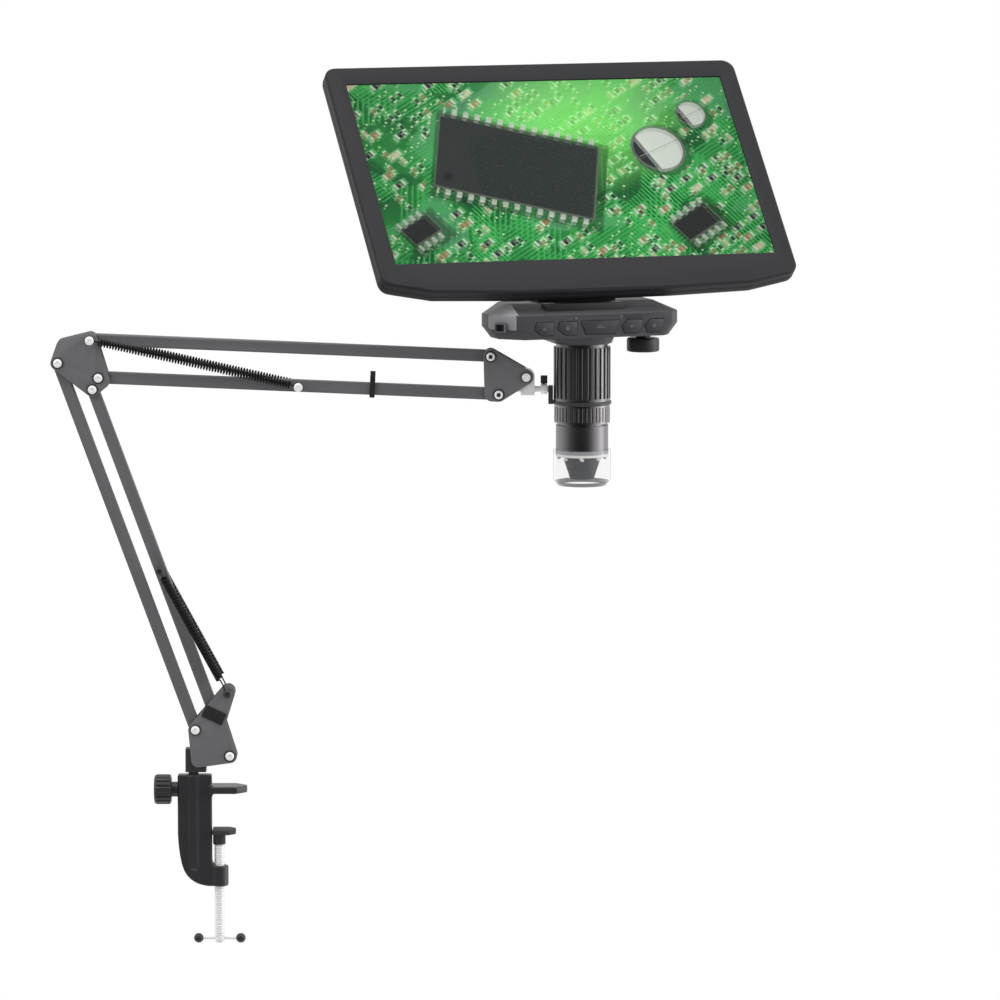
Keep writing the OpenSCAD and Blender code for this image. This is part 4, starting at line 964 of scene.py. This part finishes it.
# Clamp: a thread of 1 mm pitch wound on the screw's core, clear of its two ends
THREAD_PITCH, THREAD_CLEAR, THREAD_WIRE, THREAD_SUNK = MM, 1.5 * MM, 0.34 * MM, 0.36 * MM
low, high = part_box("clamp_screw")
screw = (low + high) / 2
reach, outer = high.z - low.z, (high.x - low.x) / 2
core = turned("core", [(0, 0), (outer * 0.7, 0), (outer * 0.86, 0.5 * MM), (outer * 0.86, reach - 0.5 * MM),
                       (outer * 0.7, reach), (0, reach)], sides=28)
wound = reach - 2 * THREAD_CLEAR
thread = placed(coil(wound / THREAD_PITCH, outer - THREAD_SUNK, wound, THREAD_WIRE, "bright_steel",
                     steps=20), Matrix.Translation((0, 0, THREAD_CLEAR)))
piece("clamp_screw_made",
      placed(joined("screw", [core, thread]), Matrix.Translation((screw.x, screw.y, low.z))),
      "bright_steel", "screw", "clamp_screw")

# The lock knob's profile from its stud outward, in millimetres, with a fluted grip and a rounded rim
KNOB_LENGTH = 18.8
KNOB = [(0, 0), (1.6, 0), (1.6, 5.8), (4.2, 5.8), (4.2, 9.0), (7.0, 9.2), (8.0, 9.7), (8.38, 10.6),
        (8.38, 16.8), (8.1, 17.9), (7.3, 18.6), (6.4, 18.78), (5.9, 18.3), (0, 18.1)]
low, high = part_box("lock_knob")
grip = turned("knob", scaled(KNOB, MM, (high.x - low.x) / KNOB_LENGTH), sides=144, flutes=18,
              depth=0.75 * MM, fluted=(10 * MM, 17.2 * MM), sharp=4)
piece("lock_knob_made", placed(grip, facing((-1, 0, 0), (high.x, 0, (low.z + high.z) / 2))),
      "knob_black", "lock_knob", "lock_knob")

# The dial's profile from its lower face, in millimetres: a deep disc with a fine edge, and its spindle
DIAL = [(0, 0), (7.9, 0), (8.7, 0.25), (9.08, 0.9), (9.08, 6.6), (8.7, 7.3), (8.0, 7.6), (4.1, 7.7),
        (4.1, 10.35), (2, 10.35), (2, 14.39), (0, 14.39)]
low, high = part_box("brightness_dial")
dial = turned("dial", scaled(DIAL, MM, MM), sides=120, flutes=40, depth=0.18 * MM,
              fluted=(0.8 * MM, 6.7 * MM))
piece("brightness_dial_made",
      placed(dial, Matrix.Translation(((low.x + high.x) / 2, (low.y + high.y) / 2, low.z))),
      "knob_black", "dial", "brightness_dial")

# Eight lamps under the light board
LAMP_RING = 12.7 * MM
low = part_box("light_board")[0]
lamp = placed(domed(1.2 * MM, 1.1 * MM), Matrix.Rotation(math.pi, 4, "X"))
lamps = placed(ringed(lamp, 8, LAMP_RING, "lamp_white"), Matrix.Translation((SCOPE_X, 0, low.z + SEAT_GAP)))
piece("board_lamps", lamps, "lamp_white", "scope")

# Plain marks on the buttons: outlines across and up, in millimetres from the button's middle
MARKS = {
    "button_1": [[(0.9, 1.1), (0.9, -1.1), (-1.1, 0)]],
    "button_2": [[(-1, -1), (1, -1), (1, 1), (-1, 1)]],
    "button_3": [[(-2.6, -0.3), (2.6, -0.3), (2.6, 0.3), (-2.6, 0.3)],
                 [(-1.5, 0.9), (1.5, 0.9), (1.5, 1.4), (-1.5, 1.4)]],
    "button_4": [[(-0.9, 1.1), (-0.9, -1.1), (1.1, 0)]],
    "button_5": [[(0, 1.3), (-1.3, 0), (0, -1.3), (1.3, 0)]],
}
MARK_RISE, FACE_DEPTH = 0.05 * MM, 0.3 * MM
for node, outlines in MARKS.items():
    points = [v.co for v in frame["nodes"][node].data.vertices]
    face = max(p.dot(OUT) for p in points)
    front = [p for p in points if p.dot(OUT) > face - FACE_DEPTH]
    sides = [p.dot(ACROSS) for p in front]
    heights = [p.z for p in front]
    at = ACROSS * (min(sides) + max(sides)) / 2 + OUT * (face - SEAT_GAP)
    at.z = (min(heights) + max(heights)) / 2
    seat = Matrix.Translation(at) @ Matrix((ACROSS, Vector((0, 0, 1)), OUT)).transposed().to_4x4()
    mark = joined("mark", [placed(prism(outline, MARK_RISE), seat) for outline in outlines])
    piece(node + "_mark", mark, "socket_metal", node)

# Display: screws on its back, set down on the case. SCREW_PLACES are in millimetres from its middle.
SCREW_PLACES = [(x, y) for x in (-108, 108) for y in (-58, 58)]
MIDDLE = centre("lcd_panel")
CLEAR_OF_CASE = 0.2
CASE = frame["nodes"]["display_back"].data
CASE_SKIN = BVHTree.FromPolygons([v.co for v in CASE.vertices], [list(p.vertices) for p in CASE.polygons])


def on_back(across, up):
    """The placing on the case's back at a place in the display's own axes, in millimetres."""
    start = MIDDLE + ACROSS * across * MM + UP * up * MM + BEHIND * CLEAR_OF_CASE
    at = CASE_SKIN.ray_cast(start, -BEHIND)[0]
    return Matrix.Translation(at) @ Matrix((ACROSS, -UP, BEHIND)).transposed().to_4x4()


screws = [placed(headed(2.6 * MM, 0.9 * MM, drive=1.0 * MM, depth=0.6 * MM), on_back(x, y))
          for x, y in SCREW_PLACES]
piece("back_screws", joined("back screws", screws), "dark_steel", "display")


# The nodes that keep their own mesh take their slot's finish
for name, obj in frame["nodes"].items():
    if not obj.hide_render and SLOT_OF[name] in FINISHES:
        obj.data.materials.clear()
        obj.data.materials.append(FINISHES[SLOT_OF[name]].material)


def soft_light(name, at, target, size, watts):
    """A rectangular light at a point, turned to a target."""
    lamp = bpy.data.lights.new(name, "AREA")
    lamp.shape, lamp.size, lamp.size_y, lamp.energy = "RECTANGLE", size[0], size[1], watts
    obj = bpy.data.objects.new(name, lamp)
    obj.location = at
    bpy.context.scene.collection.objects.link(obj)
    obj.rotation_euler = (Vector(target) - obj.location).to_track_quat("-Z", "Y").to_euler()


ROOM_LIGHT = 0.62


def white_room():
    """A white world, plain white to the camera and in gloss, softer as light."""
    world = bpy.data.worlds.new("White room")
    world.use_nodes = True
    bpy.context.scene.world = world
    nodes, links = world.node_tree.nodes, world.node_tree.links
    back = nodes["Background"]
    path = nodes.new("ShaderNodeLightPath")
    seen = nodes.new("ShaderNodeMath")
    seen.operation = "MAXIMUM"
    links.new(path.outputs["Is Camera Ray"], seen.inputs[0])
    links.new(path.outputs["Is Transmission Ray"], seen.inputs[1])
    either = nodes.new("ShaderNodeMath")
    either.operation = "MAXIMUM"
    links.new(seen.outputs[0], either.inputs[0])
    links.new(path.outputs["Is Glossy Ray"], either.inputs[1])
    strength = nodes.new("ShaderNodeMix")
    strength.inputs[2].default_value = ROOM_LIGHT
    strength.inputs[3].default_value = 1.0
    links.new(either.outputs[0], strength.inputs[0])
    links.new(strength.outputs[0], back.inputs["Strength"])
    back.inputs["Color"].default_value = (1, 1, 1, 1)


white_room()
middle = (CAD_BOX[0] + CAD_BOX[1]) / 2
soft_light("left softbox", (-1.5, -0.9, 1.1), middle, (1.2, 1.6), 14)
soft_light("right softbox", (1.7, -0.7, 1.0), middle, (1.2, 1.6), 14)
soft_light("side strip", (2.0, 0.15, 0.1), middle, (0.7, 2.0), 9)
soft_light("top softbox", (0.1, -0.2, 2.0), middle, (1.4, 1.0), 12)

# A dark curved card in front keeps the middle of the turned metal dark, as in the photograph
CARD_R, CARD_TOP, CARD_FOOT, CARD_PARTS = 1.7, 1.5, -1.5, 40
spans = [math.radians(-100 + 200 * i / CARD_PARTS) for i in range(CARD_PARTS + 1)]
corners = [(SCOPE_X + CARD_R * math.sin(angle), -CARD_R * math.cos(angle), z)
           for angle in spans for z in (CARD_FOOT, CARD_TOP)]
card_mesh = bpy.data.meshes.new("card")
card_mesh.from_pydata(corners, [], [(2 * i, 2 * i + 2, 2 * i + 3, 2 * i + 1) for i in range(CARD_PARTS)])
card = held(card_mesh, "dark_card")
black = Finish("Black card")
# Solid in front and a little to the left, and clear at its sides
darkest = Vector((-0.22, -1, 0)).normalized()
black.set(Base_Color=(0.01, 0.01, 0.01), Roughness=1.0,
          Alpha=((black.along(darkest, (SCOPE_X, 0, 0)) / CARD_R - 0.05) * 1.5).clamped())
card_mesh.materials.append(black.material)
card.visible_camera = False
card.visible_shadow = False
card.visible_diffuse = False
card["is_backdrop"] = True

camera_data = bpy.data.cameras.new("camera")
camera_data.lens, camera_data.sensor_width = CAMERA_LENS, 36
camera_data.clip_end = 100
camera = bpy.data.objects.new("camera", camera_data)
bpy.context.scene.collection.objects.link(camera)
camera.location = CAMERA_TARGET + CAMERA_DISTANCE * Vector((0, -math.cos(CAMERA_RISE), math.sin(CAMERA_RISE)))
camera.rotation_euler = (math.pi / 2 - CAMERA_RISE, 0, 0)
bpy.context.scene.camera = camera
bpy.context.scene.view_settings.view_transform = "Standard"

low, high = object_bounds()
